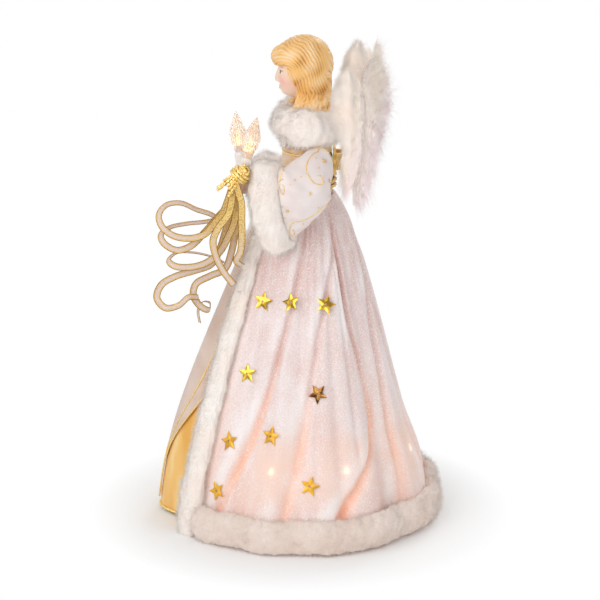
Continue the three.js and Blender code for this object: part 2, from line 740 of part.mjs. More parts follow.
// Slot with square-ended sides for the wrist, and the round fur outside it
function cuff(side) {
  const { centre, tall, wide, ahead } = sleeveFrame(side, 1);
  const count = 16;
  const at = (t) => centre.clone().addScaledVector(ahead, GAP + CUFF_LENGTH * t);
  const outer = steps(4).map((t) => {
    const fur = CUFF_FUR + CUFF_SWELL * Math.sin(Math.PI * t);
    const halfWidth = SLEEVE_MOUTH_HALF_WIDTH + fur;
    return ellipse(at(t), wide, tall, halfWidth, SLEEVE_MOUTH_HALF_HEIGHT + fur, count);
  });
  const halfSlot = WRIST_RADIUS + GAP;
  const inner = steps(4).map((t) => {
    return steps(count).slice(0, -1).map((turn) => {
      const c = Math.cos(2 * Math.PI * turn);
      const s = Math.sin(2 * Math.PI * turn);
      const u = halfSlot * Math.sign(c) * Math.abs(c) ** 0.2;
      const v = cuffSlotHalfHeight * Math.sign(s) * Math.abs(s) ** 0.6;
      return at(t).addScaledVector(wide, u).addScaledVector(tall, v);
    });
  });
  return shell(outer, inner, true);
}

function handOf(side) {
  return side > 0 ? LEFT_HAND : RIGHT_HAND;
}

function candleAxis(side) {
  return vec(...(side > 0 ? LEFT_CANDLE_AXIS : RIGHT_CANDLE_AXIS)).normalize();
}

function handCentre(side) {
  const { centre, tall, ahead } = sleeveFrame(side, 1);
  const { reach, rise } = handOf(side);
  return centre.addScaledVector(ahead, GAP + CUFF_LENGTH + reach).addScaledVector(tall, rise);
}

// A geometry built along Z, turned to the candle's axis at the hand
function atCandle(side, geometry) {
  const turn = new THREE.Quaternion().setFromUnitVectors(vec(0, 0, 1), candleAxis(side));
  const place = handCentre(side);
  geometry.applyQuaternion(turn);
  geometry.translate(place.x, place.y, place.z);
  return geometry;
}

function wristEnd(side) {
  const { ahead } = sleeveFrame(side, 1);
  const { reach } = handOf(side);
  return handCentre(side).addScaledVector(ahead, -(reach + CUFF_LENGTH));
}

function bar(from, to, radius, sides) {
  const along = to.clone().sub(from);
  const geometry = new THREE.CylinderGeometry(radius, radius, along.length(), sides);
  geometry.applyQuaternion(new THREE.Quaternion().setFromUnitVectors(vec(0, 1, 0), along.normalize()));
  const middle = from.clone().add(to).divideScalar(2);
  geometry.translate(middle.x, middle.y, middle.z);
  return geometry;
}

// Fist of four fingers round the candle, a thumb, and a wrist that runs back through the cuff
function hand(side) {
  const bore = CANDLE_RADIUS + GAP;
  const fingers = steps(2 * FINGERS).map((t, i) => {
    return [FIST_RADIUS + (i % 2) * FINGER_SWELL, mix(-FIST_HALF_HEIGHT, FIST_HALF_HEIGHT, t)];
  });
  const foot = [bore, -FIST_HALF_HEIGHT];
  const fist = atCandle(side, revolve([foot, ...fingers, [bore, FIST_HALF_HEIGHT], foot], 10));
  const wrist = bar(wristEnd(side), handCentre(side), WRIST_RADIUS, 8);
  const thumbRoot = handCentre(side).add(vec(-side * FIST_RADIUS, FIST_RADIUS / 2, 0));
  const thumbTip = thumbRoot.clone().addScaledVector(candleAxis(side), FIST_HALF_HEIGHT);
  const thumb = bar(thumbRoot, thumbTip, THUMB_RADIUS, 6);
  const hole = atCandle(side, post(bore, 0, 0, -2 * CANDLE_BELOW_HAND, CANDLE_ABOVE_HAND, 10));
  return join([fist, cut(join([wrist, thumb]), [hole])]);
}

function candleTube(side) {
  const bore = BULB_NECK_RADIUS + GAP;
  const top = CANDLE_ABOVE_HAND + SPIGOT_LENGTH;
  const boreFoot = top - BULB_NECK_LENGTH - GAP;
  const tube = revolve([
    [0, boreFoot], [bore, boreFoot], [bore, top], [SPIGOT_RADIUS, top],
    [SPIGOT_RADIUS, CANDLE_ABOVE_HAND], [CANDLE_RADIUS, CANDLE_ABOVE_HAND],
    [CANDLE_RADIUS, -CANDLE_BELOW_HAND], [0, -CANDLE_BELOW_HAND],
  ], 14);
  return atCandle(side, tube);
}

function candleBulb(side) {
  const seat = CANDLE_ABOVE_HAND + SPIGOT_LENGTH + GAP;
  const bulb = revolve([
    [0, seat - GAP - BULB_NECK_LENGTH], [BULB_NECK_RADIUS, seat - GAP - BULB_NECK_LENGTH],
    [BULB_NECK_RADIUS, seat], [BULB_RADIUS, seat], [BULB_RADIUS, seat + BULB_LENGTH / 2],
    [0, seat + BULB_LENGTH],
  ], 10);
  return atCandle(side, bulb);
}

// Faceted flame lens: a pointed cap over the bulb, pushed on to the tube's spigot
function flameLens(side) {
  const foot = CANDLE_ABOVE_HAND + GAP;
  const bore = (SPIGOT_RADIUS + GAP) / Math.cos(Math.PI / LENS_SIDES);
  const roof = foot + SPIGOT_LENGTH + BULB_LENGTH + LENS_WALL;
  const lens = revolve([
    [bore, foot], [bore + LENS_WALL, foot], [LENS_RADIUS, foot + LENS_WAIST],
    [mix(LENS_RADIUS, 0, 0.4), mix(foot + LENS_WAIST, foot + LENS_LENGTH, 0.5)],
    [0, foot + LENS_LENGTH], [0, roof + LENS_WALL], [bore, roof - BULB_RADIUS], [bore, foot],
  ], LENS_SIDES);
  return atCandle(side, lens);
}

function armWire(side) {
  const p = pivot(side);
  const { centre: elbow } = sleeveFrame(side, 0.5);
  const { ahead } = sleeveFrame(side, 1);
  const wrist = wristEnd(side).addScaledVector(ahead, -GAP);
  const pinReach = EYE_THICKNESS / 2 + PIN_REACH;
  const route = [
    p.clone().add(vec(0, 0, pinReach)), p.clone(), p.clone().add(vec(0, 0, -pinReach)),
    elbow.clone().lerp(p, 0.3).add(vec(0, 0, -2)), elbow.clone().lerp(wrist, 0.3),
    wrist.clone().addScaledVector(ahead, -CUFF_LENGTH / 4), wrist,
  ];
  return sweep(roundSection(WIRE_RADIUS, 6), route, 22);
}

// Ribbons: routes relative to the tie, each from the tie to its cut end

const RIBBONS = {
  ribbon_inner: [[5, 0, -20], [4, 0, -32], [2, 0, -44], [0, -1, -56], [-3, -4, -64], [-6, 0, -68]],
  ribbon_streamer: [[3, -9, -28], [2, -16, -38], [1, -20, -48], [0, -18, -60], [-1, -13, -71], [-2, -6, -81]],
  ribbon_top_loop: [
    [-1, -13, -28], [-2, -19, -36], [-2, -26, -44], [-2, -36, -47], [-2, -48, -45], [-5, -56, -39],
    [-9, -58, -32], [-13, -53, -26], [-15, -43, -25], [-16, -32, -30], [-16, -21, -34], [-15, -14, -40],
  ],
  ribbon_second_loop: [
    [-4, -9, -23], [-6, -17, -33], [-7, -27, -45], [-7, -36, -54], [-7, -46, -57], [-8, -55, -52],
    [-12, -57, -47], [-16, -51, -43], [-19, -39, -41], [-20, -27, -40], [-20, -17, -38],
  ],
  ribbon_third_loop: [
    [-7, -5, -35], [-8, -10, -48], [-9, -16, -59], [-9, -26, -67], [-9, -37, -70], [-9, -48, -69],
    [-13, -52, -66], [-17, -47, -62], [-19, -36, -62], [-20, -23, -65], [-21, -13, -70],
  ],
  ribbon_long_curl: [
    [-9, -5, -25], [-11, -11, -42], [-12, -16, -58], [-13, -22, -69], [-14, -34, -74], [-16, -48, -79],
    [-18, -58, -86], [-17, -61, -95], [-13, -55, -101], [-9, -45, -98], [-9, -38, -92], [-12, -31, -93],
  ],
  ribbon_knot_curl: [
    [-13, -4, -29], [-17, -5, -46], [-19, -8, -62], [-21, -13, -75], [-18, -23, -79], [-15, -33, -84],
    [-14, -35, -92], [-16, -30, -101], [-21, -24, -105], [-25, -24, -101], [-24, -29, -100],
    [-20, -32, -105], [-19, -31, -114],
  ],
};

const tie = handCentre(1).add(vec(...TIE_OFFSET));
const ribbonNames = Object.keys(RIBBONS);
const ribbonLead = vec(0, -0.7, -0.71).normalize();

function ribbonStart(place) {
  const offset = ((ribbonNames.length - 1) / 2 - place) * RIBBON_SPACING;
  return tie.clone().add(vec(offset, 0, 0));
}

function ribbon(name, place) {
  const start = ribbonStart(place);
  const route = [
    start.clone().addScaledVector(ribbonLead, -TIE_BACK),
    start.clone().addScaledVector(ribbonLead, TIE_FRONT),
    ...RIBBONS[name].map(([x, y, z]) => tie.clone().add(vec(x, y, z))),
  ];
  const flat = new THREE.Shape([
    new THREE.Vector2(-RIBBON_THICKNESS / 2, -RIBBON_WIDTH / 2),
    new THREE.Vector2(RIBBON_THICKNESS / 2, -RIBBON_WIDTH / 2),
    new THREE.Vector2(RIBBON_THICKNESS / 2, RIBBON_WIDTH / 2),
    new THREE.Vector2(-RIBBON_THICKNESS / 2, RIBBON_WIDTH / 2),
  ]);
  return sweep(flat, route, 3 * route.length);
}

function ribbonTie() {
  const halfStack = ((ribbonNames.length - 1) * RIBBON_SPACING + RIBBON_THICKNESS) / 2;
  const across = vec(0, ribbonLead.z, -ribbonLead.y);
  const clear = GAP + TIE_WIRE_RADIUS;
  const sections = steps(16).slice(1).map((t) => {
    const c = Math.cos(2 * Math.PI * t);
    const s = Math.sin(2 * Math.PI * t);
    const u = (halfStack + clear) * Math.sign(c) * Math.abs(c) ** 0.35;
    const v = (RIBBON_WIDTH / 2 + clear) * Math.sign(s) * Math.abs(s) ** 0.35;
    const out = vec(c, 0, 0).addScaledVector(across, s);
    const centre = tie.clone().add(vec(u, 0, 0)).addScaledVector(across, v);
    return ellipse(centre, out, ribbonLead, TIE_WIRE_RADIUS, TIE_WIRE_RADIUS, 6);
  });
  return ringLoft(sections);
}

// Wings

const bracketLow = waistCordTop + GAP;
const bracketHigh = bracketLow + BRACKET_HEIGHT;
const bracketFront = WAIST_SET_BACK + CHEST_HALF_DEPTH + GAP + BODICE + GAP;
const bracketBack = bracketFront + BRACKET_PLATE;
const wingPinY = bracketBack + KNUCKLE_STAND_OFF;
const knuckleLow = bracketLow + KNUCKLE_INSET;
const knuckleHigh = bracketHigh - KNUCKLE_INSET;

function wingBracket() {
  const half = BRACKET_HALF_WIDTH;
  const solids = [box(-half, half, bracketFront, bracketBack, bracketLow, bracketHigh)];
  const bores = [];
  for (const x of [-WING_PIN_X, WING_PIN_X]) {
    const webHalf = KNUCKLE_RADIUS / 2;
    solids.push(post(KNUCKLE_RADIUS, x, wingPinY, knuckleLow, knuckleHigh, 12));
    solids.push(box(x - webHalf, x + webHalf, bracketBack - GAP, wingPinY, knuckleLow, knuckleHigh));
    bores.push(post(WIRE_RADIUS + PIN_CLEARANCE, x, wingPinY, knuckleLow - 1, knuckleHigh + 1, 12));
  }
  return cut(join(solids), bores);
}

// Turns a wing drawn in its own plane, root pin on the Z axis, to its place on the bracket
function atWing(side, geometry) {
  geometry.rotateZ(side > 0 ? rad(LEFT_WING_SWEEP) : -rad(RIGHT_WING_SWEEP));
  geometry.translate(side * WING_PIN_X, wingPinY, WAIST_HEIGHT);
  return geometry;
}

function wingFrame(side) {
  const route = WING_WIRE.map(([u, v]) => vec(side * u, 0, v));
  return atWing(side, sweep(roundSection(WIRE_RADIUS, 6), route, 30));
}

// One feather's outline from its root, pointing along an angle
function featherShape(root, angle, length, halfWidth) {
  const lowerEdge = [[0, -0.3], [0.3, -0.9], [0.65, -1], [0.88, -0.7]];
  const upperEdge = lowerEdge.map(([along, off]) => [along, -off]).reverse();
  const outline = [...lowerEdge, [1, 0], ...upperEdge];
  const turn = rad(angle);
  return new THREE.Shape(outline.map(([along, off]) => {
    const a = along * length;
    const o = off * halfWidth;
    const u = root[0] + a * Math.cos(turn) - o * Math.sin(turn);
    return new THREE.Vector2(u, root[1] + a * Math.sin(turn) + o * Math.cos(turn));
  }));
}

// Fan of lapping feathers along the wing's arm, from its tip to its root
// Length of the feather at a share of the wing's arm: short at the tip, longest halfway
function featherLength(t, lengths) {
  if (t > 0.5) {
    return mix(lengths.middle, lengths.inner, 2 * t - 1);
  }
  return mix(lengths.tip, lengths.middle, THREE.MathUtils.smoothstep(t, SHORT_FEATHER_SHARE, 0.5));
}

function featherFan(side, count, near, lengths) {
  const feathers = steps(count - 1).map((t, i) => {
    const root = [mix(WING_TIP_ROOT[0], WING_INNER_ROOT[0], t), mix(WING_TIP_ROOT[1], WING_INNER_ROOT[1], t)];
    const angle = mix(FEATHER_TIP_ANGLE, FEATHER_INNER_ANGLE, t ** 0.9);
    const shape = featherShape(root, angle, featherLength(t, lengths), FEATHER_HALF_WIDTH);
    const feather = plate(shape, FEATHER_THICKNESS, 1);
    feather.rotateX(Math.PI / 2);
    const lap = i % 2 === 0 ? 0 : FEATHER_LAP;
    const off = WIRE_RADIUS + GAP + lap;
    feather.translate(0, near ? -off : off + FEATHER_THICKNESS, 0);
    return feather;
  });
  const fan = join(feathers);
  fan.scale(side, 1, 1);
  return atWing(side, tidy(fan));
}

// Star sequins

function skirtNormal(angle, z) {
  const step = 0.5;
  const up = around(angle, foldedRadius(angle, z + step), z + step);
  const down = around(angle, foldedRadius(angle, z - step), z - step);
  const left = around(angle - step, foldedRadius(angle - step, z), z);
  const right = around(angle + step, foldedRadius(angle + step, z), z);
  return right.sub(left).cross(up.sub(down)).normalize();
}

function starSequin([angle, z, spin]) {
  const corners = steps(10).slice(1).map((t, i) => {
    const radius = i % 2 === 0 ? STAR_RADIUS : STAR_INNER_RADIUS;
    const turn = 2 * Math.PI * t + rad(spin);
    return new THREE.Vector2(radius * Math.cos(turn), radius * Math.sin(turn));
  });
  const shape = new THREE.Shape(corners);
  const hole = new THREE.Path();
  hole.absarc(0, 0, STAR_HOLE_RADIUS, 0, 2 * Math.PI, true);
  shape.holes.push(hole);
  const normal = skirtNormal(angle, z);
  const turn = new THREE.Quaternion().setFromUnitVectors(vec(0, 0, 1), normal);
  const seat = around(angle, foldedRadius(angle, z), z);
  const lifts = corners.map((corner) => {
    const point = vec(corner.x, corner.y, 0).applyQuaternion(turn).add(seat);
    const y = point.y - skirtAxisY(point.z);
    const under = foldedRadius(THREE.MathUtils.radToDeg(Math.atan2(y, point.x)), point.z);
    return under - Math.hypot(point.x, y);
  });
  const star = plate(shape, STAR_THICKNESS, 3);
  star.applyQuaternion(turn);
  seat.addScaledVector(normal, GAP + Math.max(0, ...lifts));
  star.translate(seat.x, seat.y, seat.z);
  return tidy(star);
}

// The whole topper

add('support_cone', supportCone(), CARD);
add('torso_form', torsoForm(), CARD);
add('bodice', bodice(), SHEER);
add('waist_cord', waistCord(), GOLD_SATIN);
add('head', head(), PORCELAIN);
add('fur_collar', furCollar(), SEWN_WHITE);
add('overskirt', overskirt(), VELVET_PINK);
add('hem_fur', hemFur(), SEWN_WHITE);
add('gold_underskirt', panel(PANEL_HALF_ANGLE, PANEL_ABOVE_FLOOR, 0, PANEL_CLOTH, 32), GOLD_SATIN);
add('sheer_apron', panel(APRON_HALF_ANGLE, APRON_ABOVE_FLOOR, PANEL_CLOTH + GAP, APRON_CLOTH, 16), SHEER);
add('lamp_wire', lampWire(), CANDLE_WHITE);
add('wing_bracket', wingBracket(), GOLD_FOIL);
LAMP_ANGLES.forEach((angle, i) => add(`skirt_lamp_${i + 1}`, skirtLamp(angle), LAMP_GLASS));
STARS.forEach((star, i) => add(`star_sequin_${i + 1}`, starSequin(star), GOLD_FOIL));
for (const [side, name] of [[1, 'left'], [-1, 'right']]) {
  add(`${name}_front_trim`, frontTrim(side), SEWN_WHITE);
  add(`${name}_arm_wire`, armWire(side), STEEL_WIRE);
  add(`${name}_sleeve`, sleeve(side), SEWN_WHITE);
  add(`${name}_cuff`, cuff(side), SEWN_WHITE);
  add(`${name}_hand`, hand(side), PORCELAIN);
  add(`${name}_candle_tube`, candleTube(side), CANDLE_WHITE);
  add(`${name}_candle_bulb`, candleBulb(side), LAMP_GLASS);
  add(`${name}_flame_lens`, flameLens(side), CLEAR);
  add(`${name}_wing_frame`, wingFrame(side), STEEL_WIRE);
  const flight = featherFan(side, FLIGHT_FEATHERS, false, FLIGHT_LENGTHS);
  const covert = featherFan(side, COVERT_FEATHERS, true, COVERT_LENGTHS);
  add(`${name}_flight_feathers`, flight, FEATHER_WHITE);
  add(`${name}_covert_feathers`, covert, FEATHER_WHITE);
}
add('ribbon_tie', ribbonTie(), GOLD_FOIL);
ribbonNames.forEach((name, i) => add(name, ribbon(name, i), GOLD_SATIN));

export default topper;
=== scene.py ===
import math

import bmesh
import bpy
import numpy as np
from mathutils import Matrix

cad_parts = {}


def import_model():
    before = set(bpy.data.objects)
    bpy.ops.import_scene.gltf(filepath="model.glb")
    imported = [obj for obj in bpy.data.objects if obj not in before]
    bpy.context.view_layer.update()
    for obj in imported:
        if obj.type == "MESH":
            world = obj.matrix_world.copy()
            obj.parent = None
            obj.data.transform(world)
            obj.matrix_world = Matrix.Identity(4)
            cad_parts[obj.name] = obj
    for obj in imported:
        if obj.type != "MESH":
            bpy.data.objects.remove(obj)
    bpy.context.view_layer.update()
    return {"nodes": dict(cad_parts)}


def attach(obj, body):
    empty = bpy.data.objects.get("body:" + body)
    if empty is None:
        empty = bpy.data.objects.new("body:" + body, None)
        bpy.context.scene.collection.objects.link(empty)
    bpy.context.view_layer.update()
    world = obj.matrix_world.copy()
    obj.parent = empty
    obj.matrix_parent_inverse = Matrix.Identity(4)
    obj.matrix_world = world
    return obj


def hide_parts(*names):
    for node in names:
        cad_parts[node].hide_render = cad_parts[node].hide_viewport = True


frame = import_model()

# Angel tree topper. Metres and degrees, +Z up, the figure faces -Y, its left is +X.

GAP = 0.0004
DOWN = np.array([0.0, 0.0, -1.0])
FLOOR_CLEAR = 0.0006

# Velvet overskirt: a folded cone, open at the front
WAIST_HEIGHT = 0.241
HEM_HEIGHT = 0.012
WAIST_RADIUS = 0.0205
HEM_RADIUS = 0.0905
SKIRT_FULLNESS = 0.0082
GATHER_SHARE = 0.08
WAIST_SET_BACK = 0.005
VELVET = 0.0016
VELVET_GRID = (110, 450)
VELVET_ROW_POWER = 1.15
FOLD_DEPTH = 0.012
WAIST_FOLD_DEPTH = 0.002
FOLD_HALF_WIDTH = 8
# Main folds by their angle and share of the full depth
FOLDS = ((-28, 0.45), (-3, 0.45), (47, 0.8), (90, 0.42), (133, 0.8), (183, 0.45), (208, 0.45))
EDGE_ANGLE = -49
SMALL_FOLDS = 34
SMALL_FOLD_DEPTH = 0.0028
SMALL_FOLD_INSET = 4
SMALL_FOLD_STRAY = 3
SMALL_FOLD_WIDTHS = (1.6, 3.6)
SMALL_FOLD_DRIFT = 4
SMALL_FOLD_ENDS = (0.45, 1.3)
SMALL_FOLD_SIZES = (0.4, 1.0)
CREASE_DEPTH = 0.0046
CREASE_HALF_WIDTH = 2.6
# Painted highlight: degrees from each crease to the shiny strip beside it, and the strip's half width
HIGHLIGHT_OFF = -7
HIGHLIGHT_HALF_WIDTH = 4.5
# Creases by their angles at these shares down the skirt, and how deep each is
CREASE_SHARES = (0.1, 0.35, 0.6, 0.72, 0.8, 0.88, 1.0)
CREASES = (
    ((-2, -13, -23, -29, -33, -37, -42), 1.0),
    ((36, 13, 3, 0, -3, -6, -10), 0.7),
    ((36, 37, 46, 45, 37, 21, 16), 1.4),
    ((80, 62, 58, 57, 56, 55, 54), 0.7),
    ((70, 72, 76, 78, 78, 79, 80), 0.5),
)
# Valleys where painted lamp light tints the velvet peach
VALLEY_ANGLES = (51, 129)
VALLEY_HALF_WIDTH = 5
HEM_PUFF = 0.006
HEM_PUFF_SHARES = (0.70, 0.92)
HEM_PUFF_EDGE = 14
TRIM_WIDTHS = (0.012, 0.022)
TRIM_DEPTHS = (0.007, 0.014)

# Gold underskirt panel and the sheer apron over it
PANEL_HALF_ANGLE = 44
PANEL_CLOTH = 0.0012
PANEL_HEM_TUCK = 0.0065
PANEL_BULGE = 0.002
PANEL_HEM_FLARE = 0.010
PANEL_FLARE_SHARE = 0.8
PANEL_BULGE_ANGLES = (10, 26)
PANEL_CORD_RADIUS = 0.0012
PANEL_CORD_PITCH = 0.004
PANEL_WRINKLE = 0.0011
PANEL_GRID = (90, 110)
PANEL_BELOW_WAIST = 0.005
PANEL_ABOVE_FLOOR = 0.003
APRON_HALF_ANGLE = 22
APRON_HEM_HALF_ANGLE = 2
APRON_CLOTH = 0.0008
APRON_ABOVE_FLOOR = 0.009
APRON_WRINKLE = 0.0005
APRON_BRAID_RADIUS = 0.0006
APRON_SEAM_COLUMNS = (20, -21)

# Velvet colours, with painted highlight, painted shade and painted lamp light
# Painted highlight on the crests, left out of the main folds, which so stay darker as painted shade
VELVET_LIT_CREST = np.array([0.93, 0.83, 0.82])
VELVET_MIDDLE = np.array([0.88, 0.70, 0.67])
# Painted shade in the gathers at the waist, the small folds and the creases high up
VELVET_SHADE = np.array([0.74, 0.52, 0.48])
# Painted lamp light: peach colours low on the skirt, in folds, valleys and creases
VELVET_LAMP_WARMTH = np.array([0.92, 0.58, 0.46])
VELVET_LAMPLIT_PEACH = np.array([0.94, 0.52, 0.37])
VELVET_HIGHLIGHT = np.array([1.0, 0.95, 0.94])
VELVET_LIT = np.array([0.92, 0.66, 0.54])

# Lamps under the skirt
LAMP_ANGLES = (-110, -70, -15, 22, 68, 112, 158, 195)
LAMP_HEIGHT = 0.058
LAMP_GLOW = 0.027
LAMP_SPOT = 0.0022
LAMP_GLOW_LEVEL = 0.075
LAMP_SPOT_LEVEL = 0.9
CREASE_GLOW = 0.08

# Star sequins: angle, height and spin of each, and the same again on the far side
STAR_RADIUS = 0.0075
STAR_INNER_RADIUS = 0.0034
STAR_HOLE_RADIUS = 0.0009
STAR_FOIL = 0.0003
# One star gets a dark copy of the gold foil, painted shade, and the stars low on the skirt an orange, duller
# copy, painted lamp light
SHADED_STAR = 4
LAMPLIT_BELOW = 0.1
STAR_CREASE = 0.0004
STARS = (
    (-37, 0.171, 10), (-9, 0.171, 40), (18, 0.169, 0), (-38, 0.121, 25), (9, 0.111, 55),
    (-17, 0.081, 15), (-41, 0.073, 35), (4, 0.049, 5), (-42, 0.038, 50),
)

# Torso, bodice and waist cord
WAIST_CORE_RADIUS = 0.0165
CHEST_RISE = 0.026
SHOULDER_RISE = 0.039
CHEST_HALF_WIDTH = 0.021
CHEST_HALF_DEPTH = 0.0165
SHOULDER_HALF_WIDTH = 0.020
SHOULDER_HALF_DEPTH = 0.013
BODICE = 0.0012
BODICE_GRID = (46, 200)
BODICE_LOW_RISE = -0.004
BODICE_BELOW_SHOULDER = 0.0015
SPRIGS = 10
SPRIG_PITCH = 0.009
SPRIG_RELIEF = 0.00018
BODICE_BANDS = (0.2585, 0.2725)
BAND_RADIUS = 0.0008
BAND_OFF = 0.0005
BAND_PITCH = 0.003
WAIST_CORD_LOW = 0.247
WAIST_CORD_OFF = 0.0035
WAIST_CORD_RADIUS = 0.0015
WAIST_CORD_TURNS = 2
WAIST_CORD_PITCH = 0.0037
WAIST_CORD_TWIST = 0.005

# Arms
PIVOT_X = 0.030
PIVOT_SET_BACK = 0.006
EYE_BELOW_SHOULDER = 0.010
SLEEVE_CLOTH = 0.0012
SLEEVE_PATH = np.array([
    [-0.004, 0.001, 0.001], [0.006, 0.001, -0.003], [0.013, -0.005, -0.011],
    [0.016, -0.014, -0.020], [0.013, -0.020, -0.026],
])
ARM_SPREAD = {1: 0.004, -1: 0.009}
ARM_DROP = {1: 0, -1: 0.0185}
SLEEVE_ARMHOLE_HALF = (0.010, 0.0085)
SLEEVE_MOUTH_HALF = (0.0135, 0.0265)
SLEEVE_MOUTH_TILT = 11
SLEEVE_ELBOW_TILT = 42
SLEEVE_PUCKER = 0.0006
SLEEVE_GRID = (70, 96)
CUFF_LENGTH = 0.021

# Hands: reach out of the cuff and height in it, and the fingers round the candle
HAND_REACH = 0.009
HAND_RISE = 0.0195
FINGERS = 4
FINGER_TOP = 0.0050
FINGER_PITCH = 0.0034
FINGER_RADIUS = 0.0018
FINGER_BEND = 0.0048
FINGER_TURN = (-0.3, 3.4)
FINGER_TURN_STEP = 0.12
THUMB_BEND = 0.0050
THUMB_TURN = (0.2, -1.9)
THUMB_RISE = (0.001, 0.0056)
THUMB_RADII = (0.0022, 0.0016)
PALM_RADIUS = 0.0026
PALM_HALF_HEIGHT = 0.0055
PALM_BACK = (0.0042, 0.0056)
WRIST_RADIUS = 0.004
WRIST_HAND_RADIUS = 0.0042
WRIST_LENGTH = 0.016
WRIST_BACK = 0.0045
HAND_GRAIN = 0.00045
HAND_SOFTENING = 5

# Candles and flame lenses
CANDLE_AXIS = {1: (0.1, 0.24, 0.96), -1: (-0.29, -0.1, 0.95)}
CANDLE_RADIUS = 0.0039
CANDLE_BELOW_HAND = 0.009
CANDLE_ABOVE_HAND = 0.019
SPIGOT_RADIUS = 0.0029
SPIGOT_LENGTH = 0.005
LENS_RADIUS = 0.0066
LENS_LENGTH = 0.030
LENS_WAIST = 0.013
LENS_SIDES = 32
LENS_BORE = 0.72
LENS_TIP_WALL = 0.004
LENS_LEVELS = (
    (0, 0.0036), (0.0035, 0.0042), (0.008, 0.0056), (LENS_WAIST, LENS_RADIUS), (0.0165, 0.0058),
    (0.020, 0.0046), (0.0245, 0.0028), (0.028, 0.0013), (LENS_LENGTH, 0.0002),
)
LENS_FACETS = (1.0, 0.90, 0.95, 0.90)

# Plush fur: its tufts by height, size and step in the seed, and its strands
FUR_SWELL = 0.0005
FUR_TUFT = 0.0005
FUR_TUFTS = ((1.0, 0.009, 0), (0.6, 0.004, 50), (1.0, 0.02, 60))
FUR_STRAND = 0.00008
FUR_ROOT = 0.0004
FUR_BEND_SHARE = 0.6
FUR_REACH = (0.5, 1.15)
FUR_FLOW = 0.45
FUR_FLOW_SIZE = 0.012
FUR_STRAY = 0.25
FUR_TIP_STRAY = 0.3
FUR_TIP_DROOP = 0.5
FUR_NAP_RISE = 0.8
COLLAR_FRONT_Y = -0.004
COLLAR_FRONT_BLEND = 0.010
COLLAR_FOLD_HEIGHT = 0.2835
COLLAR_FOLD_DEPTH = 0.0045
COLLAR_FOLD_HALF_WIDTH = 0.0035
COLLAR_HANG = 0.007
COLLAR_HANG_BLEND = 0.006

# Ribbons: routes from the tie to each cut end, relative to the tie
TIE_OFFSET = np.array([0.0145, 0.001, 0.010])
RIBBON_WIDTH = 0.005
RIBBON_THICKNESS = 0.0003
RIBBON_WIRE = 0.00025
RIBBON_CUP = 0.0003
RIBBON_GLITTER = (0.034, 0.078)
RIBBON_MAUVE = np.array([0.86, 0.69, 0.62])
RIBBON_GOLD = np.array([0.80, 0.52, 0.16])
RIBBON_SPACING = 0.00135
TIE_BACK = 0.003
TIE_FRONT = 0.005
TIE_STRANDS = 13
TIE_STRAND_RADIUS = 0.0011
TIE_HALF = (0.0052, 0.0036)
TIE_BOW = 0.55
TIE_STRAY = 0.0008
TIE_STRAND_BACK = (0.003, 0.006)
TIE_STRAND_FRONT = (0.011, 0.020)
TIE_LOOP_HALF = (0.0066, 0.0056)
TIE_LOOP_RADIUS = 0.0014
TIE_LOOP_PITCH = 0.003
TIE_LOOPS = ((-0.0008, 1.0), (0.0016, 1.06), (0.0036, 1.0))
RIBBONS = {
    "ribbon_inner": (
        (0.005, 0, -0.020), (0.004, 0, -0.032), (0.002, 0, -0.044), (0, -0.001, -0.056),
        (-0.003, -0.004, -0.064), (-0.006, 0, -0.068),
    ),
    "ribbon_streamer": (
        (0.003, -0.009, -0.028), (0.002, -0.016, -0.038), (0.001, -0.020, -0.048), (0, -0.018, -0.060),
        (-0.001, -0.013, -0.071), (-0.002, -0.006, -0.081),
    ),
    "ribbon_top_loop": (
        (-0.001, -0.013, -0.028), (-0.002, -0.019, -0.036), (-0.002, -0.026, -0.044),
        (-0.002, -0.036, -0.047), (-0.002, -0.048, -0.045), (-0.005, -0.056, -0.039),
        (-0.009, -0.058, -0.032), (-0.013, -0.053, -0.026), (-0.015, -0.043, -0.025),
        (-0.016, -0.032, -0.030), (-0.016, -0.021, -0.034), (-0.015, -0.014, -0.040),
    ),
    "ribbon_second_loop": (
        (-0.004, -0.009, -0.023), (-0.006, -0.017, -0.033), (-0.007, -0.027, -0.045),
        (-0.007, -0.036, -0.054), (-0.007, -0.046, -0.057), (-0.008, -0.055, -0.052),
        (-0.012, -0.057, -0.047), (-0.016, -0.051, -0.043), (-0.019, -0.039, -0.041),
        (-0.020, -0.027, -0.040), (-0.020, -0.017, -0.038),
    ),
    "ribbon_third_loop": (
        (-0.007, -0.005, -0.035), (-0.008, -0.010, -0.048), (-0.009, -0.016, -0.059),
        (-0.009, -0.026, -0.067), (-0.009, -0.037, -0.070), (-0.009, -0.048, -0.069),
        (-0.013, -0.052, -0.066), (-0.017, -0.047, -0.062), (-0.019, -0.036, -0.062),
        (-0.020, -0.023, -0.065), (-0.021, -0.013, -0.070),
    ),
    "ribbon_long_curl": (
        (-0.009, -0.005, -0.025), (-0.011, -0.011, -0.042), (-0.012, -0.016, -0.058),
        (-0.013, -0.022, -0.069), (-0.014, -0.034, -0.074), (-0.016, -0.048, -0.079),
        (-0.018, -0.058, -0.086), (-0.017, -0.061, -0.095), (-0.013, -0.055, -0.101),
        (-0.009, -0.045, -0.098), (-0.009, -0.038, -0.092), (-0.012, -0.031, -0.093),
    ),
    "ribbon_knot_curl": (
        (-0.013, -0.004, -0.029), (-0.017, -0.005, -0.046), (-0.019, -0.008, -0.062),
        (-0.021, -0.013, -0.075), (-0.018, -0.023, -0.079), (-0.015, -0.033, -0.084),
        (-0.014, -0.035, -0.092), (-0.016, -0.030, -0.101), (-0.021, -0.024, -0.105),
        (-0.025, -0.024, -0.101), (-0.024, -0.029, -0.100), (-0.020, -0.032, -0.105),
        (-0.019, -0.031, -0.114),
    ),
}

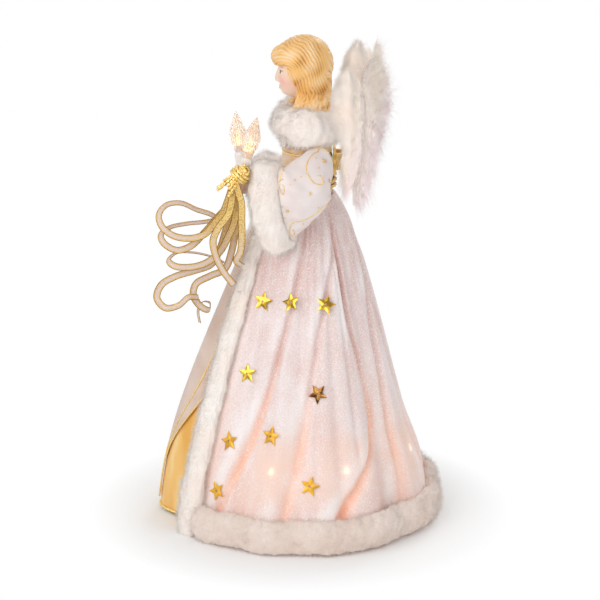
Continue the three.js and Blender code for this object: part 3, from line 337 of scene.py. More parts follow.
# Sleeve print: scrolls and stars by share down the sleeve and degrees round it from its inner side
PRINT_RADIUS = 0.00032
PRINT_DOTS = 30
PRINT_DOT = dict(reach=0.00055, waist=0.00048, points=8, foil=0.0002, crease=0.0001, lift=0.0004)
PRINT_STAR = dict(reach=0.0017, waist=0.0007, points=5, foil=0.0002, crease=0.0002, lift=0.0004)
SCROLLS = (
    ((0.22, 96), (0.25, 118), (0.34, 128), (0.46, 150), (0.52, 182), (0.46, 200), (0.41, 186), (0.45, 176)),
    ((0.36, 72), (0.55, 82), (0.74, 100), (0.88, 122), (0.93, 146), (0.87, 160), (0.83, 148), (0.87, 142)),
    ((0.50, 252), (0.66, 236), (0.82, 216), (0.92, 224), (0.95, 240), (0.90, 248), (0.87, 238)),
    ((0.20, 74), (0.15, 110), (0.17, 150), (0.14, 190), (0.18, 236)),
)
PRINT_STARS = ((0.34, 212), (0.62, 190), (0.86, 190), (0.72, 258), (0.30, 158))

# Head: lumps and features from its middle, on the usual proportions of a doll's head
HEAD_CENTRE = np.array([0, 0.001, 0.331])
FACE_LUMPS = (
    ((0, -0.0040, -0.0040), (0.0136, 0.0122, 0.0170)),
    ((0, -0.0085, -0.0140), (0.0065, 0.0060, 0.0050)),
)
HAIR_LUMPS = (
    ((0, 0.0020, 0.0032), (0.0200, 0.0205, 0.0200)),
    ((0, 0.0070, -0.0110), (0.0210, 0.0145, 0.0160)),
    ((0, -0.0115, 0.0085), (0.0135, 0.0098, 0.0078)),
)
EYE = (0.0054, -0.0022)
EYE_HALF = (0.0027, 0.00135)
EYE_BLEND = 0.3
IRIS_RADIUS = 0.00125
LID_HEIGHT = 0.00125
BROW_HEIGHT = 0.0040
CHEEK = ((0.0085, -0.0085), (0.0045, 0.0040))
NOSE_HEIGHT = 0.0026
NOSE_HALF_WIDTHS = (0.0014, 0.0021)
# Features of the face by place, half size and height
FACE_FEATURES = (
    ((0.0054, -0.0018), (0.0040, 0.0028), -0.0012),
    ((0.0054, -0.0022), (0.0026, 0.0018), 0.0009),
    ((0.0050, 0.0020), (0.0050, 0.0016), 0.0005),
    ((0.0016, -0.0089), (0.0011, 0.0010), 0.0007),
    ((0.0078, -0.0080), (0.0045, 0.0040), 0.0008),
    ((0, -0.0124), (0.0030, 0.0009), 0.0009),
    ((0, -0.0143), (0.0026, 0.0010), 0.0011),
    ((0, -0.0133), (0.0036, 0.0004), -0.0005),
    ((0, -0.0160), (0.0030, 0.0010), -0.0004),
    ((0, -0.0180), (0.0032, 0.0020), 0.0007),
)
LIP_PATCHES = (((0.0010, -0.0126), (0.0022, 0.0009)), ((0, -0.0141), (0.0022, 0.0010)))
FACE_EDGE_HEIGHT = (-0.026, -0.0204, -0.016, -0.0112, -0.0084, -0.002, 0.0045, 0.010)
FACE_EDGE_Y = (-0.005, -0.0046, -0.0025, -0.0032, -0.0060, -0.0095, -0.0109, -0.0125)
HEAD_SUBDIVISIONS = 7
FACE_SOFTNESS = 0.0008
HAIR_SOFTNESS = 0.0010
FRINGE_HEIGHT = 0.0030
HAIR_PART = ((-0.011, 0.0), (0.004, -0.040))
HAIR_SPACING = 0.0021
LOCK_FORWARD = 0.009
HAIR_RELIEF = 0.0012
FACE_WINDOW_DEPTH = 0.009
FACE_WINDOW_EDGE = 0.0013
LOCKS = 38
LOCK_ANGLES = (-40, 220)
LOCK_HALF = (0.0195, 0.0135)
LOCK_SET_BACK = 0.007
LOCK_STRAY = 3
LOCK_ENDS = (-0.0365, -0.0320)
LOCK_FLIP = 0.0030
LOCK_SWING = 0.003
LOCK_SIZES = (0.8, 1.15)
LOCK_SHARES = (0, 0.3, 0.75, 1)
LOCK_RADII = (0.0012, 0.0024, 0.0020, 0.0004)
NECK_SET_BACK = 0.004
NECK_PROFILE = ((0, -0.042), (0.009, -0.042), (0.008, -0.034), (0.0078, -0.020), (0, -0.016))
SKIN = np.array([0.93, 0.68, 0.53])
BLUSH = np.array([0.90, 0.42, 0.36])
LIP = np.array([0.72, 0.26, 0.22])
EYE_WHITE = np.array([0.88, 0.84, 0.80])
IRIS = np.array([0.07, 0.04, 0.03])
BROW = np.array([0.50, 0.27, 0.10])
# Painted shade in the grooves of the moulded hair and painted highlight on its crests, over its golden colour
HAIR_GROOVE_SHADE = np.array([0.52, 0.21, 0.03])
HAIR_MIDDLE = np.array([0.97, 0.56, 0.18])
HAIR_CREST_HIGHLIGHT = np.array([1.0, 0.76, 0.49])
HAIR_LOW_TINT = np.array([0.92, 0.80, 0.60])

# Wings, in their own plane from the root pin
LEFT_WING_SWEEP = 12
RIGHT_WING_SWEEP = 24
WING_PIN_X = 0.007
WING_PIN_Y = 0.031
WING_TIP_ROOT = (0.046, 0.076)
WING_INNER_ROOT = (0.013, 0.033)
FEATHER_TIP_ANGLE = 64
FEATHER_INNER_ANGLE = -74
FEATHER_HALF_WIDTH = 0.0085
FLIGHT_LENGTHS = (0.022, 0.054, 0.036)
COVERT_LENGTHS = (0.016, 0.032, 0.026)
SHORT_FEATHER_SHARE = 0.15
FAN_OFF = 0.0022
# Fans by name, count of feathers, lengths, height off the wing's plane and seed
WING_FANS = (("flight", 9, FLIGHT_LENGTHS, FAN_OFF, 82), ("covert", 7, COVERT_LENGTHS, -FAN_OFF, 84))
SHAFT_RADII = (0.0007, 0.0002)
VANE_SHARES = (0, 0.1, 0.35, 0.7, 0.9, 1)
VANE_WIDTHS = (0.5, 0.9, 1.1, 1.0, 0.6, 0.2)
BARB = 0.00016
BARB_SPACING = 0.0004
BARB_LEAN = 46
BARB_SHARES = np.array([0, 0.35, 0.7, 1.0])
BARB_SWEEP = 0.25
BARB_CURL = 0.0016
BARB_STRAY = 0.0002
BARB_REACH = (0.65, 1.15)
VANE_RUN = (0.08, 0.99)
FEATHER_BENDS = (-0.10, 0.06)
# Pad of down along the upper arm, and its tufts by height, size and seed
DOWN_ARM = (
    (0.047, 0, 0.097), (0.0445, 0, 0.080), (0.041, 0, 0.064), (0.037, 0, 0.050), (0.034, 0, 0.038),
)
DOWN_HALF_DEPTHS = (0.0065, 0.0080, 0.0065, 0.0040, 0.0030)
DOWN_HALF_HEIGHT = 0.014
DOWN_ACROSS = np.array([0.86, 0, -0.5])
DOWN_GRID = (44, 40)
DOWN_TUFTS = ((0.0007, 0.013, 91), (0.0002, 0.005, 92))
DOWN_OFF = 0.0016
DOWN_STRAND = 0.005
DOWN_COUNT = 14000
DOWN_SHEEN = np.array([0.45, -0.25, 0.86])
FLIGHT_SHEEN = np.array([0.15, 0.05, 0.95])
FLUFF_COUNT = 5500
FLUFF_LENGTH = 0.012
FLUFF_STRAND = 0.00009
FLUFF_SHARES = np.array([0, 0.28, 0.55, 0.8, 1.0])
FLUFF_SPREAD = 0.004
FLUFF_FAN = 0.9
FLUFF_REACH = (0.5, 1.15)
FLUFF_LIFT = (0.05, 0.8)
FLUFF_CURL = 0.25
FLUFF_DROOP = 0.18
FLUFF_FALL = 0.35
# Tint of a glow in fur and feathers that stands in for light scattered through them: painted light
PAINTED_GLOW = (1.0, 0.78, 0.58, 1)
FEATHER_CREAM = np.array([1.0, 0.87, 0.78])
FEATHER_LILAC = np.array([0.94, 0.79, 0.84])
LILAC_FROM = 0.012
LILAC_BLEND = 0.030


# Numbers

def mix(a, b, t):
    return a + (b - a) * t


def smoothstep(x):
    x = np.clip(x, 0, 1)
    return x * x * (3 - 2 * x)


def bump(x, width):
    return np.exp(-((x / width) ** 2))


def unit(vectors):
    return vectors / np.maximum(np.linalg.norm(vectors, axis=-1, keepdims=True), 1e-12)


def waves(points, wavelength, seed, count=14):
    """Smooth noise of about -1 to 1: plane waves of many directions and phases."""
    rng = np.random.default_rng(seed)
    ways = unit(rng.normal(size=(count, 3))) * rng.uniform(0.6, 1.5, (count, 1))
    phases = rng.uniform(0, 2 * np.pi, count)
    return np.sin(points @ ways.T * (2 * np.pi / wavelength) + phases).sum(-1) / math.sqrt(count)


def layered(colour, *layers):
    """A colour with others laid over it in turn, each by its share at every point."""
    for tone, share in layers:
        colour = mix(colour, tone, share[..., None])
    return colour


def wave_vectors(points, wavelength, seed):
    return np.stack([waves(points, wavelength, seed + k) for k in range(3)], -1)


def off_segment(points, a, b):
    """Distance of each point from the straight line between two others."""
    a, b = np.array(a, float), np.array(b, float)
    along = np.clip((points - a) @ (b - a) / ((b - a) @ (b - a)), 0, 1)
    return np.linalg.norm(points - a - along[:, None] * (b - a), axis=1)


def spline(points, shares):
    """Centripetal Catmull-Rom curve through points, at shares of its point count."""
    points = np.asarray(points, float)
    ends = np.array([2 * points[0] - points[1], *points, 2 * points[-1] - points[-2]])
    at = np.asarray(shares, float) * (len(points) - 1)
    piece_index = np.minimum(at.astype(int), len(points) - 2)
    w = (at - piece_index)[:, None]
    p0, p1, p2, p3 = (ends[piece_index + k] for k in range(4))
    d0, d1, d2 = (np.sqrt(np.linalg.norm(b - a, axis=1))[:, None] for a, b in ((p0, p1), (p1, p2), (p2, p3)))
    t1 = ((p1 - p0) / d0 - (p2 - p0) / (d0 + d1) + (p2 - p1) / d1) * d1
    t2 = ((p2 - p1) / d1 - (p3 - p1) / (d1 + d2) + (p3 - p2) / d2) * d1
    cubic = 2 * p1 - 2 * p2 + t1 + t2
    square = -3 * p1 + 3 * p2 - 2 * t1 - t2
    return p1 + w * (t1 + w * (square + w * cubic))


def distances(line):
    """Distance along a line to each of its points."""
    return np.concatenate([[0], np.cumsum(np.linalg.norm(np.diff(line, axis=0), axis=1))])


def evenly(line, count):
    """The line again, with points at equal distances."""
    along = distances(line)
    at = np.linspace(0, along[-1], count)
    return np.stack([np.interp(at, along, line[:, k]) for k in range(3)], 1)


def length_of(line):
    return float(distances(line)[-1])


def transported(line, first):
    """Tangents, normals and binormals down a line, the first normal carried along without twist."""
    tangents = unit(np.gradient(line, axis=0))
    normals = [unit(first - tangents[0] * (first @ tangents[0]))]
    for tangent in tangents[1:]:
        kept = normals[-1] - tangent * (normals[-1] @ tangent)
        normals.append(unit(kept))
    normals = np.array(normals)
    return tangents, normals, np.cross(tangents, normals)


# Solids: each is an array of points and a list of arrays of triangles or quads

def facing_out(solid):
    points, faces = solid
    volume = 0.0
    for f in faces:
        for k in range(1, f.shape[1] - 1):
            a, b, c = points[f[:, 0]], points[f[:, k]], points[f[:, k + 1]]
            volume += (a * np.cross(b, c)).sum()
    return solid if volume > 0 else (points, [f[:, ::-1] for f in faces])


def merged(solids):
    points, faces, offset = [], [], 0
    for p, fs in solids:
        points.append(p)
        faces += [f + offset for f in fs]
        offset += len(p)
    return np.concatenate(points), faces


def grid_quads(rows, columns, wrapped):
    index = np.arange(rows * columns).reshape(rows, columns)
    left = index if wrapped else index[:, :-1]
    right = np.roll(index, -1, 1) if wrapped else index[:, 1:]
    return np.stack([left[:-1], right[:-1], right[1:], left[1:]], -1).reshape(-1, 4)


def shell(outer, inner, wrapped=False):
    """Wall between two grids of points, closed round its edges."""
    rows, columns = outer.shape[:2]
    count = rows * columns
    index = np.arange(count).reshape(rows, columns)
    quads = grid_quads(rows, columns, wrapped)
    if wrapped:
        loops = [np.append(index[0], index[0, 0]), np.append(index[-1], index[-1, 0])[::-1]]
    else:
        border = [index[0], index[1:, -1], index[-1, ::-1][1:], index[::-1, 0][1:]]
        loops = [np.concatenate(border)]
    rims = [np.stack([loop[1:], loop[:-1], loop[:-1] + count, loop[1:] + count], 1) for loop in loops]
    points = np.concatenate([outer.reshape(-1, 3), inner.reshape(-1, 3)])
    return facing_out((points, [quads, quads[:, ::-1] + count, *rims]))


def loft(rings):
    """Solid through closed rings of equal count, with a fan on both ends."""
    rows, columns = rings.shape[:2]
    count = rows * columns
    points = np.concatenate([rings.reshape(-1, 3), [rings[0].mean(0)], [rings[-1].mean(0)]])
    around_it = np.arange(columns)
    after = np.roll(around_it, -1)
    last = count - columns
    first_cap = np.stack([np.full(columns, count), after, around_it], 1)
    last_cap = np.stack([np.full(columns, count + 1), last + around_it, last + after], 1)
    return facing_out((points, [grid_quads(rows, columns, True), first_cap, last_cap]))


def turns(count):
    return np.linspace(0, 2 * np.pi, count, endpoint=False)


def tube(line, radius, sides=6, first=(0.3, 0.5, 0.8)):
    """Round bar down a line. The radius may differ from point to point."""
    _, normals, binormals = transported(line, np.asarray(first, float))
    radius = np.broadcast_to(radius, len(line))[:, None, None]
    a = turns(sides)[None, :, None]
    ring = normals[:, None] * np.cos(a) + binormals[:, None] * np.sin(a)
    return loft(line[:, None] + radius * ring)


def rope(line, radius, pitch, lobes=3, sides=15):
    """Twisted cord down a line, its strands as lobes that wind round it."""
    _, normals, binormals = transported(line, np.array([0.3, 0.5, 0.8]))
    a = turns(sides)[None]
    wave = np.cos(lobes * (a - 2 * np.pi * distances(line)[:, None] / pitch / lobes))
    reach = (radius * (0.86 + 0.14 * wave))[..., None]
    ring = normals[:, None] * np.cos(a)[..., None] + binormals[:, None] * np.sin(a)[..., None]
    return loft(line[:, None] + reach * ring)


def lathe(profile, sides):
    """Body of revolution about Z from radius and height corners, from axis to axis."""
    radius, height = np.array(profile, float).T
    a = turns(sides)
    rings = np.stack([
        np.outer(radius, np.cos(a)), np.outer(radius, np.sin(a)), np.repeat(height[:, None], sides, 1),
    ], -1)
    return loft(rings)


def spikes(lines, radius):
    """Three-sided strands down many lines at once, each closed and pointed at its tip."""
    count, rows = lines.shape[:2]
    along = unit(lines[:, -1] - lines[:, 0])
    helper = np.where(np.abs(along[:, 2:]) < 0.8, [[0.0, 0.0, 1.0]], [[1.0, 0.0, 0.0]])
    u = unit(np.cross(along, helper))
    v = np.cross(along, u)
    corners = [np.cos(a) * u + np.sin(a) * v for a in turns(3)]
    taper = radius * (1 - np.arange(rows - 1) / rows)
    rings = lines[:, :-1, None] + taper[None, :, None, None] * np.stack(corners, 1)[:, None]
    per = 3 * (rows - 1) + 1
    points = np.concatenate([rings.reshape(count, -1, 3), lines[:, -1:]], 1).reshape(-1, 3)
    start = (np.arange(count) * per)[:, None]
    triangles = [[0, 2, 1]]
    triangles += [[3 * (rows - 2) + k, 3 * (rows - 2) + (k + 1) % 3, per - 1] for k in range(3)]
    quads = [
        [3 * r + k, 3 * r + (k + 1) % 3, 3 * r + 3 + (k + 1) % 3, 3 * r + 3 + k]
        for r in range(rows - 2) for k in range(3)
    ]
    faces = [(start[:, :, None] + np.array(triangles)[None]).reshape(-1, 3)]
    if quads:
        faces.append((start[:, :, None] + np.array(quads)[None]).reshape(-1, 4))
    return points, faces


def scatter(points, triangles, normals, count, rng):
    """Places spread evenly over a surface, with their normals."""
    a, b, c = (points[triangles[:, k]] for k in range(3))
    size = np.linalg.norm(np.cross(b - a, c - a), axis=1)
    chosen = rng.choice(len(size), count, p=size / size.sum())
    u, v = rng.random((2, count, 1))
    u, v = np.where(u + v > 1, 1 - u, u), np.where(u + v > 1, 1 - v, v)
    corners = triangles[chosen]
    place = a[chosen] + u * (b[chosen] - a[chosen]) + v * (c[chosen] - a[chosen])
    normal = normals[corners[:, 0]] * (1 - u - v) + normals[corners[:, 1]] * u + normals[corners[:, 2]] * v
    return place, unit(normal)


def corner_normals(points, triangles):
    """Normal of each point of a mesh of triangles."""
    a, b, c = (points[triangles[:, k]] for k in range(3))
    faces = np.cross(b - a, c - a)
    total = np.zeros_like(points)
    for k in range(3):
        np.add.at(total, triangles[:, k], faces)
    return unit(total)


def split_quads(faces):
    """Faces of three or four corners as triangles."""
    return np.concatenate([f[:, [0, k, k + 1]] for f in faces for k in range(1, f.shape[1] - 1)])


# Pieces

def build_mesh(name, solid):
    points, faces = solid
    mesh = bpy.data.meshes.new(name)
    corners = np.concatenate([f.ravel() for f in faces]).astype(np.int32)
    sizes = np.concatenate([np.full(len(f), f.shape[1]) for f in faces])
    mesh.vertices.add(len(points))
    mesh.vertices.foreach_set("co", np.asarray(points, np.float32).ravel())
    mesh.loops.add(len(corners))
    mesh.loops.foreach_set("vertex_index", corners)
    mesh.polygons.add(len(sizes))
    mesh.polygons.foreach_set("loop_start", (np.cumsum(sizes) - sizes).astype(np.int32))
    mesh.update(calc_edges=True)
    return mesh


def placed(name, data):
    """A new object in the scene."""
    thing = bpy.data.objects.new(name, data)
    bpy.context.scene.collection.objects.link(thing)
    return thing


def piece(name, solid, looks, body, stands_for=(), smooth=True, face_looks=None):
    mesh = build_mesh(name, solid)
    for look in looks if isinstance(looks, list) else [looks]:
        mesh.materials.append(look)
    mesh.polygons.foreach_set("use_smooth", np.full(len(mesh.polygons), smooth))
    if face_looks is not None:
        mesh.polygons.foreach_set("material_index", np.asarray(face_looks, np.int32))
    thing = placed(name, mesh)
    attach(thing, body)
    if stands_for:
        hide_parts(*stands_for)
    return thing


def paint(thing, colours):
    """Colour of each point, read by materials as the attribute named paint."""
    colours = np.asarray(colours, np.float32)
    rgba = np.concatenate([colours, np.ones((len(colours), 1), np.float32)], 1)
    layer = thing.data.attributes.new("paint", "FLOAT_COLOR", "POINT")
    layer.data.foreach_set("color", rgba.ravel())


def point_value(thing, name, values):
    layer = thing.data.attributes.new(name, "FLOAT", "POINT")
    layer.data.foreach_set("value", np.asarray(values, np.float32))


def point_vector(thing, name, vectors):
    layer = thing.data.attributes.new(name, "FLOAT_VECTOR", "POINT")
    layer.data.foreach_set("vector", np.asarray(vectors, np.float32).ravel())


def formed(mesh, *modifiers):
    """A mesh after modifiers, each given by its kind and settings."""
    thing = placed("form", mesh)
    for kind, settings in modifiers:
        modifier = thing.modifiers.new(kind, kind)
        for key, value in settings.items():
            setattr(modifier, key, value)
    made = bpy.data.meshes.new_from_object(thing.evaluated_get(bpy.context.evaluated_depsgraph_get()))
    bpy.data.objects.remove(thing)
    return made


def values_of(items, key, kind=float):
    values = np.zeros(len(items) * 3, kind)
    items.foreach_get(key, values)
    return values.reshape(-1, 3)


def smooth_solid(node, levels):
    """A CAD solid made round: its points, triangles and normals."""
    weld = ("WELD", {"merge_threshold": 1e-5})
    mesh = formed(frame["nodes"][node].data.copy(), weld, ("SUBSURF", {"levels": levels}))
    mesh.calc_loop_triangles()
    points = values_of(mesh.vertices, "co")
    triangles = values_of(mesh.loop_triangles, "vertices", np.int32)
    normals = values_of(mesh.vertex_normals, "vector")
    bpy.data.meshes.remove(mesh)
    return points, triangles, normals


# Materials

class Look:
    """A material with one Principled shader, and short calls that add nodes to it."""

    def __init__(self, name, colour, roughness, **inputs):
        self.material = bpy.data.materials.new(name)
        self.material.use_nodes = True
        self.tree = self.material.node_tree
        self.shader = self.tree.nodes["Principled BSDF"]
        self.shader.inputs["Base Color"].default_value = (*colour, 1)
        self.shader.inputs["Roughness"].default_value = roughness
        for key, value in inputs.items():
            self.shader.inputs[key.replace("_", " ")].default_value = value
        self.place = self.node("ShaderNodeTexCoord").outputs["Object"]

    def node(self, kind, settings=None, **inputs):
        node = self.tree.nodes.new(kind)
        for key, value in (settings or {}).items():
            setattr(node, key, value)
        for key, value in inputs.items():
            self.feed(node.inputs[key.replace("_", " ")], value)
        return node

    def feed(self, socket, value):
        if isinstance(value, bpy.types.NodeSocket):
            self.tree.links.new(value, socket)
        else:
            socket.default_value = value

    def noise(self, size, detail=2.0, stretch=None):
        place = self.place
        if stretch:
            place = self.node("ShaderNodeMapping", Vector=place, Scale=stretch).outputs["Vector"]
        made = self.node("ShaderNodeTexNoise", Vector=place, Scale=1 / size, Detail=detail)
        return made.outputs["Fac"]

    def cells(self, size):
        return self.node("ShaderNodeTexVoronoi", Vector=self.place, Scale=1 / size).outputs["Distance"]

    def ramp(self, value, *stops):
        """Colours or levels at places along a value."""
        made = self.node("ShaderNodeValToRGB", Fac=value)
        band = made.color_ramp
        while len(band.elements) < len(stops):
            band.elements.new(1.0)
        for element, (at, colour) in zip(band.elements, stops):
            element.position = at
            element.color = (*colour, 1) if isinstance(colour, tuple) else (colour, colour, colour, 1)
        return made.outputs["Color"]

    def tones(self, value, low, high):
        """Two tones in soft patches."""
        return self.ramp(value, (0.35, low), (0.65, high))

    def blend(self, share, a, b):
        """Mixes two colours, by the sockets that a colour mix has."""
        made = self.node("ShaderNodeMix", {"data_type": "RGBA"})
        self.feed(made.inputs[0], share)
        for socket, colour in ((made.inputs[6], a), (made.inputs[7], b)):
            self.feed(socket, (*colour, 1) if isinstance(colour, tuple) else colour)
        return made.outputs[2]

    def attribute(self, name, output="Color"):
        return self.node("ShaderNodeAttribute", {"attribute_name": name}).outputs[output]

    def colour(self, value):
        self.feed(self.shader.inputs["Base Color"], value)

    def rough(self, value):
        self.feed(self.shader.inputs["Roughness"], value)

    def relief(self, height, depth, strength=1.0):
        made = self.node("ShaderNodeBump", Height=height, Distance=depth, Strength=strength)
        self.feed(self.shader.inputs["Normal"], made.outputs["Normal"])

    def glow(self, colour, strength):
        self.feed(self.shader.inputs["Emission Color"], colour)
        self.feed(self.shader.inputs["Emission Strength"], strength)


def fur_look(name, shade, light, scatter=0.0):
    look = Look(name, light, 0.9, Sheen_Weight=0.35, Sheen_Roughness=0.5)
    patches = look.tones(look.noise(0.022), shade, light)
    # Painted shade between strands: fine darker lines in the fur's colour
    strands = look.ramp(look.noise(0.0011, 2), (0.36, 0.22), (0.52, 0.0))
    look.colour(look.blend(strands, patches, tuple(0.72 * c for c in shade)))
    look.relief(look.noise(0.0013, 2), 0.0005, 0.5)
    # Painted light: a faint glow, as strong as the scatter argument
    look.glow(PAINTED_GLOW, scatter)
    return look.material


def velvet_look():
    look = Look("velvet", (0.93, 0.87, 0.85), 0.7, Sheen_Weight=0.4, Sheen_Roughness=0.35)
    crushed = look.noise(0.010, 3, (1, 1, 0.35))
    grain = look.noise(0.0010, 1)
    painted = look.attribute("paint")
    nap = look.blend(look.ramp(crushed, (0.45, 0.0), (0.64, 0.35)), painted, (0.97, 0.91, 0.90))
    # Painted glints: white dots in the fine grain, where the cloth is also less rough
    painted_glint = look.ramp(grain, (0.54, 0.0), (0.70, 0.72))
    dark = look.ramp(grain, (0.30, 0.28), (0.44, 0.0))
    ground = look.blend(dark, nap, (0.74, 0.50, 0.48))
    crushed_cloth = look.blend(painted_glint, ground, (1.0, 0.95, 0.94))
    # Where painted lamp light lies, read from the attribute named smooth, the painted colour shows without
    # the glints and grain
    look.colour(look.blend(look.attribute("smooth", "Fac"), crushed_cloth, painted))
    look.rough(look.ramp(grain, (0.4, 0.8), (0.65, 0.35)))
    look.relief(grain, 0.0004, 0.5)
    look.glow((1.0, 0.55, 0.32, 1), look.attribute("glow", "Fac"))
    return look.material


def gold_satin_look():
    look = Look("gold_satin", (0.86, 0.56, 0.20), 0.38, Metallic=0.15, Sheen_Weight=0.2)
    stops = ((0.35, (0.84, 0.44, 0.08)), (0.5, (0.92, 0.56, 0.17)), (0.68, (1.0, 0.78, 0.40)))
    look.colour(look.ramp(look.noise(0.018, 2, (1, 1, 0.3)), *stops))
    look.relief(look.noise(0.0006, 1, (1, 1, 4)), 0.0002, 0.3)
    return look.material


def organza_look():
    look = Look("organza", (0.86, 0.66, 0.55), 0.5, Sheen_Weight=0.4, Alpha=0.72)
    threads = look.noise(0.0009, 1, (1, 1, 5))
    tone = look.tones(look.noise(0.03), (0.80, 0.58, 0.46), (0.93, 0.76, 0.66))
    look.colour(look.blend(look.ramp(threads, (0.45, 0.0), (0.65, 0.5)), tone, (0.97, 0.86, 0.78)))
    return look.material


def gold_look(name, roughness, grain, low=(0.55, 0.32, 0.05), high=(0.95, 0.70, 0.26)):
    look = Look(name, high, roughness, Metallic=0.85)
    glitter = look.cells(grain)
    look.colour(look.ramp(glitter, (0.1, low), (0.5, high)))
    look.relief(glitter, grain / 2, 0.7)
    return look.material


def foil_look(name, low, high, roughness, metallic):
    look = Look(name, high, roughness, Metallic=metallic)
    # Painted reflection: dark patches in the foil's colour
    look.colour(look.ramp(look.noise(0.005), (0.40, low), (0.58, high)))
    look.relief(look.noise(0.002), 0.0003, 0.5)
    return look.material


def ribbon_look():
    look = Look("edged_ribbon", (0.75, 0.60, 0.55), 0.45, Sheen_Weight=0.3, Alpha=0.9)
    threads = look.ramp(look.noise(0.0007, 1), (0.35, 0.25), (0.6, 0.0))
    cloth = look.blend(threads, look.attribute("paint"), (0.62, 0.42, 0.34))
    glitter = look.cells(0.0011)
    gold = look.ramp(glitter, (0.1, (0.45, 0.24, 0.03)), (0.5, (0.95, 0.66, 0.22)))
    look.colour(look.blend(look.attribute("glitter", "Fac"), cloth, gold))
    look.relief(glitter, 0.0003, 0.4)
    return look.material


def satin_look():
    look = Look("white_satin", (0.90, 0.84, 0.84), 0.38, Sheen_Weight=0.3, Specular_IOR_Level=0.5)
    look.colour(look.tones(look.noise(0.02), (0.85, 0.73, 0.70), (0.92, 0.83, 0.81)))
    look.relief(look.noise(0.0005, 1, (1, 1, 4)), 0.0001, 0.3)
    return look.material


def brocade_look():
    look = Look("brocade", (0.80, 0.60, 0.48), 0.5, Sheen_Weight=0.3)
    ground = look.tones(look.noise(0.0012), (0.74, 0.52, 0.42), (0.86, 0.68, 0.58))
    look.colour(look.blend(look.attribute("thread", "Fac"), ground, (0.84, 0.56, 0.20)))
    look.relief(look.noise(0.0006, 1), 0.0002, 0.5)
    return look.material


def porcelain_look():
    look = Look("painted_porcelain", (0.93, 0.68, 0.53), 0.42, Specular_IOR_Level=0.4)
    wear = look.ramp(look.noise(0.004, 3), (0.4, 0.0), (0.7, 0.08))
    look.colour(look.blend(wear, look.attribute("paint"), (1.0, 0.86, 0.72)))
    look.relief(look.noise(0.0011), 0.0001, 0.3)
    return look.material


def flame_look():
    look = Look("flame_glass", (1.0, 0.92, 0.80), 0.06, Transmission_Weight=0.8, IOR=1.45)
    spots = look.cells(0.0026)
    stops = ((0.15, (0.92, 0.60, 0.36)), (0.40, (1.0, 0.92, 0.80)), (0.6, (1.0, 0.97, 0.94)))
    look.colour(look.ramp(spots, *stops))
    look.relief(spots, 0.0007, 0.9)
    # Painted light: the lens glows, standing in for the bulb's light inside it
    look.glow(look.ramp(spots, (0.2, (1.0, 0.62, 0.18)), (0.6, (1.0, 0.60, 0.50))), 0.06)
    return look.material


def feather_look():
    look = Look("feather", (0.90, 0.80, 0.73), 0.85, Sheen_Weight=0.25)
    # Painted shade between barbs: fine darker lines in the feathers' colour
    barb_shade = look.ramp(look.noise(0.0016, 2), (0.38, 0.22), (0.58, 0.0))
    look.colour(look.blend(barb_shade, look.attribute("paint"), (0.66, 0.56, 0.54)))
    look.relief(look.noise(0.0012, 2), 0.0003, 0.4)
    # Painted light: a glow in the feathers
    look.glow(PAINTED_GLOW, 0.17)
    return look.material


def plain_look(name, base, roughness, low, high, size, detail=2, relief=None, **inputs):
    """Two tones of one colour in soft patches, and a relief of that size where there is one."""
    look = Look(name, base, roughness, **inputs)
    tone = look.noise(size, detail)
    look.colour(look.tones(tone, low, high))
    if relief:
        look.relief(tone, *relief)
    return look.material


def hard_look(name, low, high, size, roughness, **inputs):
    return plain_look(name, high, roughness, low, high, size, 3, (size / 20, 0.4), **inputs)


WHITE_FUR = fur_look("white_fur", (0.98, 0.87, 0.80), (1.0, 0.93, 0.88), 0.03)
# A lighter copy of the white fur with more glow for the front trims: painted light against the shade they lie
# in
LIT_TRIM_FUR = fur_look("lit_trim_fur", (0.98, 0.87, 0.80), (1.0, 0.95, 0.90), 0.05)
# A darker, beige copy of the white fur for the hem band: painted shade
SHADED_FUR = fur_look("shaded_fur", (0.85, 0.69, 0.60), (0.93, 0.79, 0.71))
DOWN_FUR = fur_look("wing_down", (0.99, 0.84, 0.75), (1.0, 0.90, 0.82), 0.14)
VELVET_PINK = velvet_look()
GOLD_SATIN = gold_satin_look()
ORGANZA = organza_look()
GOLD_BRAID = gold_look("gold_braid", 0.35, 0.0007)
GOLD_FOIL = foil_look("gold_foil", (0.30, 0.17, 0.02), (0.86, 0.56, 0.08), 0.2, 1.0)
# Copies of the gold foil: a dark one for painted shade and an orange, duller one for painted lamp light
SHADED_FOIL = foil_look("shaded_foil", (0.10, 0.035, 0.012), (0.42, 0.22, 0.05), 0.18, 1.0)
LAMPLIT_FOIL = foil_look("lamplit_foil", (0.62, 0.30, 0.02), (0.80, 0.44, 0.04), 0.4, 0.5)
GOLD_EDGE = gold_look("gold_edge", 0.4, 0.0012, (0.10, 0.045, 0.01), (0.36, 0.18, 0.04))
RIBBON_CLOTH = ribbon_look()
SATIN = satin_look()
BROCADE = brocade_look()
GOLD_CORD = plain_look("gold_cord", (0.60, 0.37, 0.10), 0.35, (0.42, 0.23, 0.04), (0.86, 0.60, 0.22), 0.0005,
                       relief=(0.0002, 0.5), Metallic=0.75)
GLITTER = gold_look("gold_glitter", 0.3, 0.0011)
PORCELAIN = porcelain_look()
SKIN_LOOK = plain_look("painted_skin", (0.93, 0.68, 0.53), 0.45, (0.91, 0.62, 0.49), (0.94, 0.71, 0.57),
                       0.005)
WAX = plain_look("candle_white", (0.92, 0.86, 0.83), 0.4, (0.92, 0.83, 0.80), (0.94, 0.90, 0.88), 0.006,
                 Subsurface_Weight=0.15)
FLAME_GLASS = flame_look()
FEATHER = feather_look()
CARD = hard_look("card", (0.78, 0.72, 0.62), (0.88, 0.83, 0.75), 0.004, 0.85)
MOULDED = hard_look("moulded_body", (0.86, 0.80, 0.74), (0.92, 0.88, 0.83), 0.008, 0.6)
